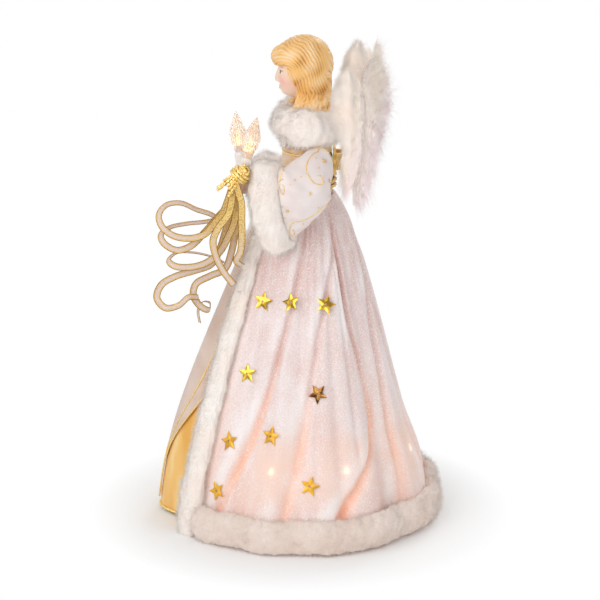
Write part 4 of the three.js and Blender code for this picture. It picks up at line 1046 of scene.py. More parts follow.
STEEL_WIRE = hard_look("white_wire", (0.80, 0.80, 0.80), (0.90, 0.90, 0.90), 0.003, 0.4)
WRAPPED_WIRE = hard_look("wrapped_wire", (0.66, 0.56, 0.53), (0.80, 0.70, 0.66), 0.003, 0.8)
GILT = hard_look("gilt_bracket", (0.60, 0.38, 0.10), (0.86, 0.60, 0.20), 0.004, 0.35, Metallic=0.85)
LAMP_WIRE = hard_look("lamp_wire", (0.80, 0.78, 0.74), (0.90, 0.88, 0.84), 0.004, 0.5)
LAMP = plain_look("warm_lamp", (1.0, 0.85, 0.6), 0.3, (0.95, 0.76, 0.48), (1.0, 0.90, 0.70), 0.002,
                  Emission_Color=(1.0, 0.72, 0.38, 1), Emission_Strength=1.2)


# Skirt

def skirt_share(z):
    return (WAIST_HEIGHT - z) / (WAIST_HEIGHT - HEM_HEIGHT)


def skirt_radius(z):
    t = skirt_share(z)
    gathered = 1 - np.exp(-t / GATHER_SHARE)
    return mix(WAIST_RADIUS, HEM_RADIUS, t) + SKIRT_FULLNESS * gathered * (1 - t**6)


def fold_share(angle):
    return sum(depth * bump(angle - at, FOLD_HALF_WIDTH) for at, depth in FOLDS)


def small_folds(angle, t):
    """Lesser folds gathered at the waist, some running out part of the way down."""
    rng = np.random.default_rng(7)
    depth = 0
    for at in np.linspace(EDGE_ANGLE + SMALL_FOLD_INSET, 180 - EDGE_ANGLE - SMALL_FOLD_INSET, SMALL_FOLDS):
        middle = at + rng.uniform(-SMALL_FOLD_STRAY, SMALL_FOLD_STRAY)
        width = rng.uniform(*SMALL_FOLD_WIDTHS)
        drift = rng.uniform(-SMALL_FOLD_DRIFT, SMALL_FOLD_DRIFT)
        end = rng.uniform(*SMALL_FOLD_ENDS)
        size = rng.uniform(*SMALL_FOLD_SIZES)
        run = smoothstep((end - t) / 0.3) * smoothstep((t + 0.02) / 0.06)
        depth = depth + size * run * bump(angle - middle - drift * t, width)
    return depth * SMALL_FOLD_DEPTH * mix(0.55, 1.0, t)


def crease_share(angle, t, off, half_width):
    """How near each place is to a crease, or to a line some degrees beside it. Both sides are alike."""
    total = 0
    for route, strength in CREASES:
        at = sum(np.interp(t + step, CREASE_SHARES, route) for step in (-0.05, 0, 0.05)) / 3
        for line in (at + off, 180 - at - off):
            total = total + strength * bump(angle - line, half_width)
    return total * smoothstep(t / 0.25)


def creases(angle, t):
    return crease_share(angle, t, 0, CREASE_HALF_WIDTH)


def hem_puff(angle, t):
    """How far the velvet swells out over the fur at its hem, less towards its front edges."""
    first, last = HEM_PUFF_SHARES
    inside = np.minimum(angle - EDGE_ANGLE, 180 - EDGE_ANGLE - angle)
    return HEM_PUFF * smoothstep((t - first) / (last - first)) * smoothstep(inside / HEM_PUFF_EDGE)


def folded_radius(angle, z):
    t = skirt_share(z)
    main = fold_share(angle)
    small = small_folds(angle, t) * np.clip(1 - main, 0, 1)
    crease = CREASE_DEPTH * creases(angle, t) * np.clip(1.15 - main, 0.2, 1)
    deep = mix(WAIST_FOLD_DEPTH, FOLD_DEPTH, t) * main + crease
    return skirt_radius(z) - deep - small + hem_puff(angle, t)


def around(angle, radius, z):
    a = np.radians(angle)
    y = WAIST_SET_BACK * z / WAIST_HEIGHT
    return np.stack(np.broadcast_arrays(radius * np.cos(a), y + radius * np.sin(a), z), -1)


def lamp_share(points, reach):
    """How near each point is to the cloth in front of a lamp."""
    near = 0
    for angle in LAMP_ANGLES:
        spot = around(angle, folded_radius(angle, LAMP_HEIGHT), LAMP_HEIGHT)
        near = near + bump(np.linalg.norm(points - spot, axis=-1), reach)
    return near


def lamp_light(points):
    """How much of the lamps' light comes through the cloth at each point."""
    spots = LAMP_SPOT_LEVEL * lamp_share(points, LAMP_SPOT)
    return LAMP_GLOW_LEVEL * lamp_share(points, LAMP_GLOW) + spots


def under_trim(z):
    """Degrees from the velvet's edge to the middle of the fur trim over it."""
    t = skirt_share(z)
    half = mix(*TRIM_WIDTHS, t) / 2
    return np.degrees(np.arcsin((half + GAP) / (skirt_radius(z) + GAP + mix(*TRIM_DEPTHS, t) / 2)))


def velvet_paint(points, angles, t, lit):
    """Painted highlight on crests and on the ridges beside the creases, painted shade in the gathers at the
    waist, in small folds and in creases high up, and painted peach lamp light in folds and creases low down.
    """
    small = np.clip(small_folds(angles, t) / SMALL_FOLD_DEPTH, 0, 1)
    fold = np.clip(fold_share(angles) * mix(0.35, 1.0, t), 0, 1)
    crease = np.clip(creases(angles, t), 0, 1)
    # Painted highlight on the ridge beside each crease, laid on in patches
    ridge = np.clip(crease_share(angles, t, HIGHLIGHT_OFF, HIGHLIGHT_HALF_WIDTH), 0, 1) * (1 - crease)
    # Painted highlight in broad upright bands, held back in the main folds as painted shade
    crest = np.clip(0.55 + 0.45 * waves(points * [1, 1, 0.25], 0.03, 15), 0, 1) * (1 - fold)
    low = smoothstep((t - 0.35) / 0.4)
    valley = sum(bump(angles - at, VALLEY_HALF_WIDTH) for at in VALLEY_ANGLES)
    # Painted lamp light low on the skirt, strongest in the folds and valleys, in random patches
    lamp_warmth = np.clip(0.28 + 0.40 * waves(points, 0.07, 17) + 0.55 * fold + 0.8 * valley, 0, 1) * low
    patches = np.clip(0.6 + 0.6 * waves(points, 0.05, 19), 0, 1)
    return layered(
        VELVET_MIDDLE,
        (VELVET_LIT_CREST, 0.8 * crest),
        (VELVET_LAMP_WARMTH, 0.6 * lamp_warmth),
        # Painted shade towards the waist and in small folds
        (VELVET_SHADE, smoothstep((0.50 - t) / 0.4) * (0.6 + 0.35 * small)),
        (VELVET_SHADE, 0.3 * small),
        (VELVET_LIT, 0.7 * lit),
        (VELVET_HIGHLIGHT, 0.85 * ridge * patches),
        # Creases: painted shade high up, painted peach lamp light low down
        (mix(VELVET_SHADE, VELVET_LAMPLIT_PEACH, low[..., None]), 0.85 * crease),
    )


def overskirt():
    rows, columns = VELVET_GRID
    heights = mix(WAIST_HEIGHT, HEM_HEIGHT, np.linspace(0, 1, rows)[:, None] ** VELVET_ROW_POWER)
    edge = EDGE_ANGLE - under_trim(heights)
    angles = mix(edge, 180 - edge, np.linspace(0, 1, columns)[None])
    radius = folded_radius(angles, heights)
    outer = around(angles, radius, heights)
    inner = around(angles, radius - VELVET, heights)
    thing = piece("velvet_overskirt", shell(outer, inner), VELVET_PINK, "figure", ["overskirt"])
    t = np.broadcast_to(skirt_share(heights), angles.shape)
    crushed = np.clip(0.5 + 0.9 * waves(outer, 0.026, 23), 0, 1)
    lit = np.clip(1.1 * lamp_share(outer, LAMP_GLOW), 0, 1) * (1 - 0.7 * crushed)
    colours = velvet_paint(outer, angles, t, lit)
    light = lamp_light(outer) + CREASE_GLOW * np.clip(creases(angles, t), 0, 1) * t
    paint(thing, np.concatenate([colours.reshape(-1, 3)] * 2))
    point_value(thing, "glow", np.concatenate([light.ravel()] * 2))
    # The attribute named smooth holds the share of painted lamp light
    point_value(thing, "smooth", np.concatenate([0.8 * lit.ravel()] * 2))


def panel_radius(angle, z):
    t = skirt_share(z)
    tuck = mix(VELVET + GAP + PANEL_CLOTH, PANEL_HEM_TUCK, t)
    bulge = PANEL_BULGE + PANEL_HEM_FLARE * smoothstep(t / PANEL_FLARE_SHARE)
    off = 1 - np.abs(angle + 90) / mix(*PANEL_BULGE_ANGLES, smoothstep(2 * t))
    return skirt_radius(z) - tuck + (tuck + bulge) * smoothstep(off)


def front_cloth(half_angles, lowest, off, cloth, wrinkle, seed):
    """Outer and inner grid of a cloth down the front, with its wrinkles. It may narrow toward the hem."""
    rows, columns = PANEL_GRID
    heights = np.linspace(WAIST_HEIGHT - PANEL_BELOW_WAIST, lowest, rows)[:, None]
    half = mix(*half_angles, smoothstep((skirt_share(heights) - 0.5) / 0.42))
    angles = -90 + half * np.linspace(-1, 1, columns)[None]
    base = around(angles, panel_radius(angles, heights) + off + cloth, heights)
    run = waves(base * [1, 1, 0.3], 0.022, seed)
    inside = wrinkle * (run - 1.6) * smoothstep(skirt_share(heights) * 4)
    calm = smoothstep((half - np.abs(angles + 90)) / 8) * smoothstep((np.abs(angles + 90) - 4) / 16)
    radius = panel_radius(angles, heights) + off + np.minimum(inside * calm, 0)
    return around(angles, radius + cloth, heights), around(angles, radius, heights)


def front_panels():
    halves = (PANEL_HALF_ANGLE, PANEL_HALF_ANGLE)
    outer, inner = front_cloth(halves, PANEL_ABOVE_FLOOR, 0, PANEL_CLOTH / 2, PANEL_WRINKLE, 3)
    gold = piece("gold_panel", shell(outer, inner), GOLD_SATIN, "figure", ["gold_underskirt"])
    hem = rope(evenly(outer[-1], 300), PANEL_CORD_RADIUS, PANEL_CORD_PITCH)
    cord = piece("panel_hem_cord", hem, GOLD_BRAID, "figure")
    halves = (APRON_HALF_ANGLE, APRON_HEM_HALF_ANGLE)
    off = PANEL_CLOTH + GAP
    outer, inner = front_cloth(halves, APRON_ABOVE_FLOOR, off, APRON_CLOTH / 2, APRON_WRINKLE, 5)
    apron = piece("organza_apron", shell(outer, inner), ORGANZA, "figure", ["sheer_apron"])
    border = np.concatenate([outer[:, 0], outer[-1, 1:-1], outer[::-1, -1]])
    seams = [outer[:, column] for column in APRON_SEAM_COLUMNS]
    braids = [tube(evenly(line, 260), APRON_BRAID_RADIUS) for line in (border, *seams)]
    trim = piece("apron_gold_edge", merged(braids), GOLD_BRAID, "figure")


def skirt_frame(angle, z):
    """Place on the skirt, with its outward normal and the two directions along it, over a sequin's width."""
    step = 3.0
    lift = 0.004
    at = around(angle, folded_radius(angle, z), z)
    left, right = (around(angle + d, folded_radius(angle + d, z), z) for d in (-step, step))
    low, high = (around(angle, folded_radius(angle, z + d), z + d) for d in (-lift, lift))
    across = unit(right - left)
    normal = unit(np.cross(across, high - low))
    return at, normal, across, np.cross(normal, across)


def star(at, normal, across, up, reach, waist, points, foil, crease, lift, hole=0.0002, spin=0.0):
    """Foil star creased along its arms, with a hole in the middle."""
    count = 2 * points
    a = turns(count) + spin
    tips = np.arange(count) % 2 == 0
    radius = np.where(tips, reach, waist)
    low = np.where(tips, crease * 0.2, 0)
    rings = []
    for share, height in ((None, crease), (0.55, crease * 0.8), (1.0, low)):
        ring = np.full(count, hole) if share is None else radius * share
        flat = np.outer(ring * np.cos(a), across) + np.outer(ring * np.sin(a), up)
        rings.append(at + flat + np.outer(height + np.zeros(count) + lift, normal))
    outer = np.array(rings)
    return shell(outer, outer - normal * foil, True)


def star_solid(angle, z, spin):
    """A sequin that rests on the highest cloth under it."""
    place = skirt_frame(angle, z)
    height, turn = np.meshgrid(np.linspace(-1, 1, 9) * STAR_RADIUS, np.linspace(-1, 1, 9) * STAR_RADIUS)
    level = z + height
    beside = angle + np.degrees(turn / skirt_radius(z))
    cloth = around(beside, folded_radius(beside, level), level) - place[0]
    under = np.hypot(height, turn) < STAR_RADIUS
    rest = ((cloth @ place[1]) * under).max()
    return star(*place, STAR_RADIUS, STAR_INNER_RADIUS, 5, STAR_FOIL, STAR_CREASE, rest + 2 * STAR_FOIL,
                STAR_HOLE_RADIUS, math.radians(spin))


def stars():
    for i, (angle, z, spin) in enumerate(STARS):
        # Painted shade on one star, painted lamp light on the low ones
        look = SHADED_FOIL if i == SHADED_STAR else GOLD_FOIL if z > LAMPLIT_BELOW else LAMPLIT_FOIL
        near = star_solid(angle, z, spin)
        piece(f"foil_star_{i + 1}", near, look, "figure", [f"star_sequin_{i + 1}"], False)
        far = star_solid(180 - angle, z, -spin)
        piece(f"far_foil_star_{i + 1}", far, look, "figure", (), False)


# Fur

def pile(coat, triangles, normals, count, length, seed, fall):
    """Fine strands over a coat, and the direction in which each is shaded."""
    rng = np.random.default_rng(seed)
    roots, out = scatter(coat, triangles, normals, count, rng)
    flow = wave_vectors(roots, FUR_FLOW_SIZE, seed)
    lean = unit(out + fall * DOWN + FUR_FLOW * flow + FUR_STRAY * rng.normal(size=(count, 3)))
    reach = length * rng.uniform(*FUR_REACH, (count, 1))
    bend = unit(lean + FUR_TIP_DROOP * DOWN + FUR_TIP_STRAY * rng.normal(size=(count, 3)))
    tips = roots + (lean * FUR_BEND_SHARE + bend * (1 - FUR_BEND_SHARE)) * reach
    lines = np.stack([roots - lean * FUR_ROOT, roots + lean * reach * FUR_BEND_SHARE, tips], 1)
    lines[..., 2] = np.maximum(lines[..., 2], FLOOR_CLEAR)
    strands = spikes(lines, FUR_STRAND)
    return strands, np.repeat(unit(out - FUR_NAP_RISE * DOWN), len(strands[0]) // count, 0)


def downy(name, strands, nap, look, body, stands_for=()):
    """Strands as a piece of their own, fine enough to let the light through."""
    thing = piece(name, strands, look, body, stands_for)
    point_vector(thing, "custom_normal", nap)
    thing.data.update()
    thing.visible_shadow = False
    thing.visible_diffuse = False
    return thing


def fur(name, node, body, look, count, length, seed, fall=0.3, shape=None):
    """Plush: a soft tufted coat, with fine strands that blur its outline."""
    points, triangles, normals = smooth_solid(node, 2)
    tufts = sum(height * waves(points, size, seed + step) for height, size, step in FUR_TUFTS)
    coat = points + normals * (FUR_SWELL + FUR_TUFT * tufts)[:, None]
    if shape:
        coat = shape(coat, normals)
    coat[:, 2] = np.maximum(coat[:, 2], FLOOR_CLEAR)
    piece(name, (coat, [triangles]), look, body, [node])
    strands, nap = pile(coat, triangles, corner_normals(coat, triangles), count, length, seed, fall)
    downy(name + "_pile", strands, nap, look, body)


def collar_ends(points, normals):
    """The collar's ends in front, that hang a little below its roll with a fold between."""
    height = points[:, 2] - COLLAR_FOLD_HEIGHT
    front = smoothstep((COLLAR_FRONT_Y - points[:, 1]) / COLLAR_FRONT_BLEND)
    fold = COLLAR_FOLD_DEPTH * front * bump(height, COLLAR_FOLD_HALF_WIDTH)
    hang = COLLAR_HANG * front * smoothstep(-height / COLLAR_HANG_BLEND)
    return points - normals * fold[:, None] + hang[:, None] * DOWN


# Arms

pivot_y = WAIST_SET_BACK + PIVOT_SET_BACK
shoulder_height = WAIST_HEIGHT + SHOULDER_RISE
eye_height = shoulder_height - EYE_BELOW_SHOULDER


def sleeve_frame(side, t):
    """Centres of the sleeve's sections with their wide, tall and ahead directions."""
    t = np.atleast_1d(np.asarray(t, float))
    share = np.linspace(0, 1, len(SLEEVE_PATH))[:, None]
    moved = SLEEVE_PATH + share * [ARM_SPREAD[side], 0, -ARM_DROP[side]]
    route = moved * [side, 1, 1] + [side * PIVOT_X, pivot_y, eye_height]
    step = 1e-4
    tangent = unit(spline(route, np.clip(t + step, 0, 1)) - spline(route, np.clip(t - step, 0, 1)))
    tilt = np.radians(SLEEVE_MOUTH_TILT * t + SLEEVE_ELBOW_TILT * np.sin(np.pi * t) ** 3)
    tall = np.stack([0 * tilt, -np.sin(tilt), np.cos(tilt)], -1)
    wide = unit(np.cross(tangent, tall))
    return spline(route, t), wide, tall, unit(np.cross(tall, wide))


def hand_centre(side):
    centre, _, tall, ahead = (v[0] for v in sleeve_frame(side, 1))
    return centre + ahead * (GAP + CUFF_LENGTH + HAND_REACH) + tall * HAND_RISE


# Ribbons

tie = hand_centre(1) + TIE_OFFSET
ribbon_lead = unit(np.array([0, -0.7, -0.71]))


def ribbon_line(name, place):
    offset = ((len(RIBBONS) - 1) / 2 - place) * RIBBON_SPACING
    start = tie + [offset, 0, 0]
    ends = [start - ribbon_lead * TIE_BACK, start + ribbon_lead * TIE_FRONT]
    route = [*ends, *(tie + np.array(RIBBONS[name]))]
    shares = np.linspace(0, 1, 40 * len(route))
    return evenly(spline(route, shares), 12 * len(route))


def ribbon(name, place):
    """Sheer ribbon with gold borders and a wire in each edge, glittered where it leaves the tie."""
    line = ribbon_line(name, place)
    _, thick, wide = transported(line, np.array([-1.0, 0, 0]))
    half = RIBBON_WIDTH / 2 - RIBBON_WIRE
    share = np.linspace(-1, 1, 11)[None, :, None]
    cup = RIBBON_CUP * (1 - share**2)
    middle = line[:, None] + wide[:, None] * half * share + thick[:, None] * cup
    skin = thick[:, None] * (RIBBON_THICKNESS / 2)
    cloth = shell(middle + skin, middle - skin)
    wires = [tube(line + wide * sign * half, RIBBON_WIRE, 6, wide[0]) for sign in (-1, 1)]
    solid = merged([cloth, *wires])
    counts = [sum(len(f) for f in faces) for _, faces in (cloth, *wires)]
    thing = piece(name + "_cloth", solid, [RIBBON_CLOTH, GOLD_EDGE], "left_arm", [name],
                  face_looks=np.repeat([0, 1, 1], counts))
    border = smoothstep((np.abs(share[0]) - 0.38) / 0.3)
    colours = np.broadcast_to(mix(RIBBON_MAUVE, RIBBON_GOLD, border), (len(line), 11, 3)).reshape(-1, 3)
    blank = len(solid[0]) - 2 * len(colours)
    paint(thing, np.concatenate([colours, colours, np.full((blank, 3), 0.4)]))
    run = np.linspace(0, length_of(line), len(line))
    first, last = RIBBON_GLITTER
    gold = 0.40 * border[:, 0] + (1 - smoothstep((run - first) / (last - first)))[:, None]
    gold = np.clip(gold, 0, 1).ravel()
    point_value(thing, "glitter", np.concatenate([gold, gold, np.zeros(blank)]))


# Sleeves

def on_sleeve(side, t, turn, lift):
    """Places on a sleeve: share down it, angle from its inner side over the top, height over the cloth."""
    centre, wide, tall, _ = sleeve_frame(side, t)
    turn = turn if side > 0 else np.pi - turn
    half_width = mix(SLEEVE_ARMHOLE_HALF[0], SLEEVE_MOUTH_HALF[0], np.sin(np.pi * t / 2)) + lift
    half_height = mix(SLEEVE_ARMHOLE_HALF[1], SLEEVE_MOUTH_HALF[1], t**0.75) + lift
    return centre + wide * (half_width * np.cos(turn))[:, None] + tall * (half_height * np.sin(turn))[:, None]


def sleeve_lift(side, t, turn):
    calm = smoothstep(t / 0.1) * smoothstep((1 - t) / 0.1)
    soft = waves(on_sleeve(side, t, turn, 0) * [1, 1, 1.5], 0.017, 31)
    return SLEEVE_PUCKER * (soft - 0.9) * calm


def sleeve(side, name):
    rows, columns = SLEEVE_GRID
    t, turn = (g.ravel() for g in np.meshgrid(np.linspace(0, 1, rows), turns(columns), indexing="ij"))
    lift = sleeve_lift(side, t, turn)
    outer = on_sleeve(side, t, turn, lift).reshape(rows, columns, 3)
    inner = on_sleeve(side, t, turn, lift - SLEEVE_CLOTH).reshape(rows, columns, 3)
    cloth = piece(f"{name}_satin_sleeve", shell(outer, inner, True), SATIN, f"{name}_arm",
                  [f"{name}_sleeve"])
    trim = piece(f"{name}_sleeve_print", merged(print_solids(side)), GOLD_BRAID, f"{name}_arm")
    width = length_of(np.append(outer[-1], outer[-1, :1], 0))


def print_solids(side):
    """Raised glitter scrolls, stars and dots on a sleeve."""
    solids = []
    for scroll in SCROLLS:
        route = spline([(t, math.radians(turn), 0) for t, turn in scroll], np.linspace(0, 1, 70))
        t, turn = route[:, 0], route[:, 1]
        line = on_sleeve(side, t, turn, sleeve_lift(side, t, turn) + PRINT_RADIUS / 2)
        swell = 0.6 + 0.6 * np.sin(np.pi * np.linspace(0, 1, 70))
        solids.append(tube(line, PRINT_RADIUS * swell, 5))
    rng = np.random.default_rng(41)
    dots = list(zip(rng.uniform(0.15, 0.95, PRINT_DOTS), rng.uniform(80, 290, PRINT_DOTS)))
    for places, shape in ((dots, PRINT_DOT), (PRINT_STARS, PRINT_STAR)):
        solids += [star(*sleeve_place(side, t, math.radians(turn)), **shape) for t, turn in places]
    return solids


def sleeve_place(side, t, turn):
    """One place on the sleeve with its normal and two directions along it."""
    step = 0.01
    t = np.array([t, t, min(t + step, 1)])
    turn = np.array([turn, turn + step, turn])
    at, beside, on = on_sleeve(side, t, turn, sleeve_lift(side, t, turn))
    across = unit(beside - at)
    normal = unit(np.cross(across, on - at))
    centre = sleeve_frame(side, t[0])[0][0]
    normal = normal if normal @ (at - centre) > 0 else -normal
    return at, normal, across, np.cross(normal, across)


# Bodice and waist cord

def torso_place(turn, z, off):
    rise = z - WAIST_HEIGHT
    to_chest = smoothstep(rise / CHEST_RISE)
    to_shoulder = smoothstep((rise - CHEST_RISE) / (SHOULDER_RISE - CHEST_RISE))
    width = mix(mix(WAIST_CORE_RADIUS, CHEST_HALF_WIDTH, to_chest), SHOULDER_HALF_WIDTH, to_shoulder) + off
    depth = mix(mix(WAIST_CORE_RADIUS, CHEST_HALF_DEPTH, to_chest), SHOULDER_HALF_DEPTH, to_shoulder) + off
    x = width * np.cos(turn)
    return np.stack(np.broadcast_arrays(x, WAIST_SET_BACK + depth * np.sin(turn), z), -1)


def bodice():
    rows, columns = BODICE_GRID
    z = np.linspace(WAIST_HEIGHT + BODICE_LOW_RISE, shoulder_height - BODICE_BELOW_SHOULDER, rows)[:, None]
    turn = turns(columns)[None]
    rise = 2 * np.pi * z / SPRIG_PITCH
    sprigs = np.cos(SPRIGS * turn) * np.cos(rise) + 0.5 * np.cos(2 * SPRIGS * turn + rise)
    relief = SPRIG_RELIEF * np.clip(sprigs, -0.4, 1)
    outer = torso_place(turn, z, GAP + BODICE + relief)
    inner = torso_place(turn, z, GAP + 0 * relief)
    cloth = piece("brocade_bodice", shell(outer, inner, True), BROCADE, "figure", ["bodice"])
    gold = np.clip(sprigs / 0.8, 0, 1).ravel()
    point_value(cloth, "thread", np.concatenate([gold, gold]))
    bands = []
    for level in BODICE_BANDS:
        ring = torso_place(np.linspace(0, 2 * np.pi, 240), np.full(240, level), GAP + BODICE + BAND_OFF)
        bands.append(rope(ring, BAND_RADIUS, BAND_PITCH))
    piece("bodice_gold_bands", merged(bands), GOLD_BRAID, "figure")


def waist_cord():
    share = np.linspace(0, 1, 520)
    turn = np.pi / 2 - 2 * np.pi * WAIST_CORD_TURNS * share
    z = mix(WAIST_CORD_LOW, WAIST_CORD_LOW + WAIST_CORD_TURNS * WAIST_CORD_PITCH, share)
    line = torso_place(turn, z, WAIST_CORD_OFF)
    cord = rope(line, WAIST_CORD_RADIUS, WAIST_CORD_TWIST)
    piece("twisted_waist_cord", cord, GOLD_CORD, "figure", ["waist_cord"])


# Head: one moulding of face and hair, painted

def sphere_ways(level):
    made = bmesh.new()
    bmesh.ops.create_icosphere(made, subdivisions=level, radius=1)
    made.verts.ensure_lookup_table()
    ways = np.array([v.co[:] for v in made.verts])
    faces = np.array([[v.index for v in f.verts] for f in made.faces])
    made.free()
    return unit(ways), faces


def reach_of(ways, lump):
    """How far each direction goes from the head's middle to the far side of an ellipsoid."""
    centre, half = (np.array(v) for v in lump)
    d = ways / half
    c = centre / half
    a = (d * d).sum(-1)
    b = d @ c
    inside = b * b - a * (c @ c - 1)
    return np.where(inside > 0, (b + np.sqrt(np.maximum(inside, 0))) / a, 0)


def joined_reach(ways, lumps, softness):
    reaches = np.stack([reach_of(ways, lump) for lump in lumps])
    most = reaches.max(0)
    return most + softness * np.log(np.exp((reaches - most) / softness).sum(0))


def oval(x, z, at, half):
    return np.exp(-(((np.abs(x) - at[0]) / half[0]) ** 2) - ((z - at[1]) / half[1]) ** 2)


def face_relief(x, z):
    """How far the features stand out forward."""
    ridge = smoothstep((0.004 - z) / 0.012) * smoothstep((z + 0.0103) / 0.0016)
    relief = NOSE_HEIGHT * ridge * bump(x, mix(*NOSE_HALF_WIDTHS, smoothstep(-z / 0.008)))
    for at, half, height in FACE_FEATURES:
        relief = relief + height * oval(x, z, at, half)
    return relief


def face_paint(x, z):
    """Colours of the face: skin, blush, lips and painted eyes."""
    dx, dz = np.abs(x) - EYE[0], z - EYE[1]
    across = np.abs(dx)
    almond = (dx / EYE_HALF[0]) ** 2 + (dz / (EYE_HALF[1] - 0.125 * across)) ** 2
    eye = smoothstep((1.15 - almond) / EYE_BLEND)
    iris = eye * smoothstep((IRIS_RADIUS - np.hypot(dx, dz - 0.0001)) / 0.0003)
    lid = bump(dz - LID_HEIGHT + 0.12 * dx**2 / EYE_HALF[0], 0.00035) * smoothstep((0.0031 - across) / 0.0005)
    brow = bump(dz - BROW_HEIGHT + 30 * dx**2, 0.0005) * smoothstep((0.0038 - across) / 0.001)
    lips = [(LIP, smoothstep(oval(x, z, *patch) * 2.4 - 0.8)) for patch in LIP_PATCHES]
    eyes = ((EYE_WHITE, eye), (IRIS, iris), (IRIS, 0.85 * lid), (BROW, 0.6 * brow))
    return layered(SKIN, (BLUSH, 0.65 * oval(x, z, *CHEEK)), *lips, *eyes)


def strand_phase(points):
    """Count of hair strands out from the side of the face, and so the lines they run along."""
    drift = 0.8 * waves(points * [1, 1, 0.6], 0.026, 51) + 0.18 * waves(points, 0.009, 54)
    return off_segment(points[:, 1:], *HAIR_PART) / HAIR_SPACING + drift


def hair_tone(points):
    """Height of the strands, 0 in a groove and 1 on a crest, deeper in some locks than in others."""
    phase = strand_phase(points)
    broad = 0.5 + 0.5 * np.cos(2 * np.pi * phase)
    fine = 0.5 + 0.5 * np.cos(2 * np.pi * (2.7 * phase + waves(points, 0.012, 52)))
    deep = np.clip(0.85 + 0.35 * waves(points * [1, 1, 0.5], 0.013, 55), 0.35, 1.1)
    return 0.5 + deep * (0.58 * broad**0.7 + 0.42 * fine - 0.5)


def hair_paint(tone, points):
    # Painted highlight in lighter patches and on crests, painted shade in the grooves
    patch = 0.5 + 0.5 * waves(points, 0.016, 53)
    shade = np.clip(0.75 * tone + 0.35 * patch - 0.08, 0, 1)
    crest = smoothstep((shade - 0.5) / 0.45)
    colour = layered(HAIR_GROOVE_SHADE, (HAIR_MIDDLE, smoothstep(shade / 0.45)), (HAIR_CREST_HIGHLIGHT, crest))
    low = smoothstep((-0.004 - points[:, 2]) / 0.008) * smoothstep((points[:, 2] + 0.021) / 0.008)
    return layered(colour, (colour * HAIR_LOW_TINT, low))


def head():
    ways, faces = sphere_ways(HEAD_SUBDIVISIONS)
    skin_reach = joined_reach(ways, FACE_LUMPS, FACE_SOFTNESS)
    hair_reach = joined_reach(ways, HAIR_LUMPS, HAIR_SOFTNESS)
    hair = ways * hair_reach[:, None]
    edge = np.interp(hair[:, 2], FACE_EDGE_HEIGHT, FACE_EDGE_Y)
    fringe = FRINGE_HEIGHT + 12 * hair[:, 0] ** 2 + 0.0006 * np.sin(hair[:, 0] * 2400)
    behind, below = edge - hair[:, 1], fringe - hair[:, 2]
    window = smoothstep(behind / FACE_WINDOW_EDGE) * smoothstep(below / FACE_WINDOW_EDGE)
    tone = hair_tone(hair)
    hair_reach = hair_reach + HAIR_RELIEF * (tone - 0.5) - FACE_WINDOW_DEPTH * window
    face = ways * skin_reach[:, None]
    front = smoothstep((-0.004 - face[:, 1]) / 0.006)
    face[:, 1] -= face_relief(face[:, 0], face[:, 2]) * front
    is_hair = hair_reach > skin_reach
    points = np.where(is_hair[:, None], ways * hair_reach[:, None], face)
    colours = np.where(is_hair[:, None], hair_paint(tone, hair), face_paint(face[:, 0], face[:, 2]))
    solids = [(points, [faces])]
    paints = [colours]
    for lock in hair_locks():
        solids.append(lock)
        paints.append(hair_paint(hair_tone(lock[0] * [1, 1, 0.6]), lock[0]))
    neck, neck_faces = lathe(NECK_PROFILE, 40)
    solids.append((neck + [0, NECK_SET_BACK, 0], neck_faces))
    paints.append(np.broadcast_to(SKIN, (len(neck), 3)))
    points, faces = merged(solids)
    solid = (points + HEAD_CENTRE, faces)
    thing = piece("painted_head", solid, PORCELAIN, "figure", ["head"])
    paint(thing, np.concatenate(paints))


def hair_locks():
    """Ends of the hair round the sides and the nape, the foremost curled in under the jaw."""
    rng = np.random.default_rng(61)
    share = np.linspace(0, 1, 16)
    made = []
    for angle in np.linspace(*LOCK_ANGLES, LOCKS):
        a = math.radians(angle + rng.uniform(-LOCK_STRAY, LOCK_STRAY))
        out = np.array([math.cos(a), math.sin(a), 0])
        bob = np.array([LOCK_HALF[0] * math.cos(a), LOCK_SET_BACK + LOCK_HALF[1] * math.sin(a), 0])
        forward = np.array([0, -LOCK_FORWARD * (1 - smoothstep((math.sin(a) + 0.6) / 1.2)), 0])
        low = rng.uniform(*LOCK_ENDS)
        flip = rng.uniform(0, LOCK_FLIP)
        swing = np.array([-math.sin(a), math.cos(a), 0]) * rng.uniform(-LOCK_SWING, LOCK_SWING)
        route = [
            bob * 0.94 + [0, 0, -0.012], bob * 0.97 + [0, 0, -0.019],
            bob * 0.93 + forward * 0.4 + swing * 0.5 + [0, 0, -0.0265],
            bob * 0.92 + forward + out * flip + swing + [0, 0, low],
        ]
        radius = np.interp(share, LOCK_SHARES, LOCK_RADII) * rng.uniform(*LOCK_SIZES)
        made.append(tube(spline(route, share), radius, 9))
    return made


# Hands, candles and lenses

def to_candle(side, points):
    """Turns points drawn about Z to the candle's axis in the hand."""
    axis = unit(np.array(CANDLE_AXIS[side]))
    turn = np.cross([0, 0, 1], axis)
    skew = np.array([[0, -turn[2], turn[1]], [turn[2], 0, -turn[0]], [-turn[1], turn[0], 0]])
    matrix = np.eye(3) + skew + skew @ skew / (1 + axis[2])
    return points @ matrix.T + hand_centre(side)


def rounded(solids, grain, passes):
    """Solids run together into one soft form."""
    join = ("REMESH", {"mode": "VOXEL", "voxel_size": grain})
    mesh = formed(build_mesh("rough_form", merged(solids)), join, ("SMOOTH", {"iterations": passes}))
    points = values_of(mesh.vertices, "co")
    faces = np.array([p.vertices[:] for p in mesh.polygons])
    bpy.data.meshes.remove(mesh)
    return points, [faces]


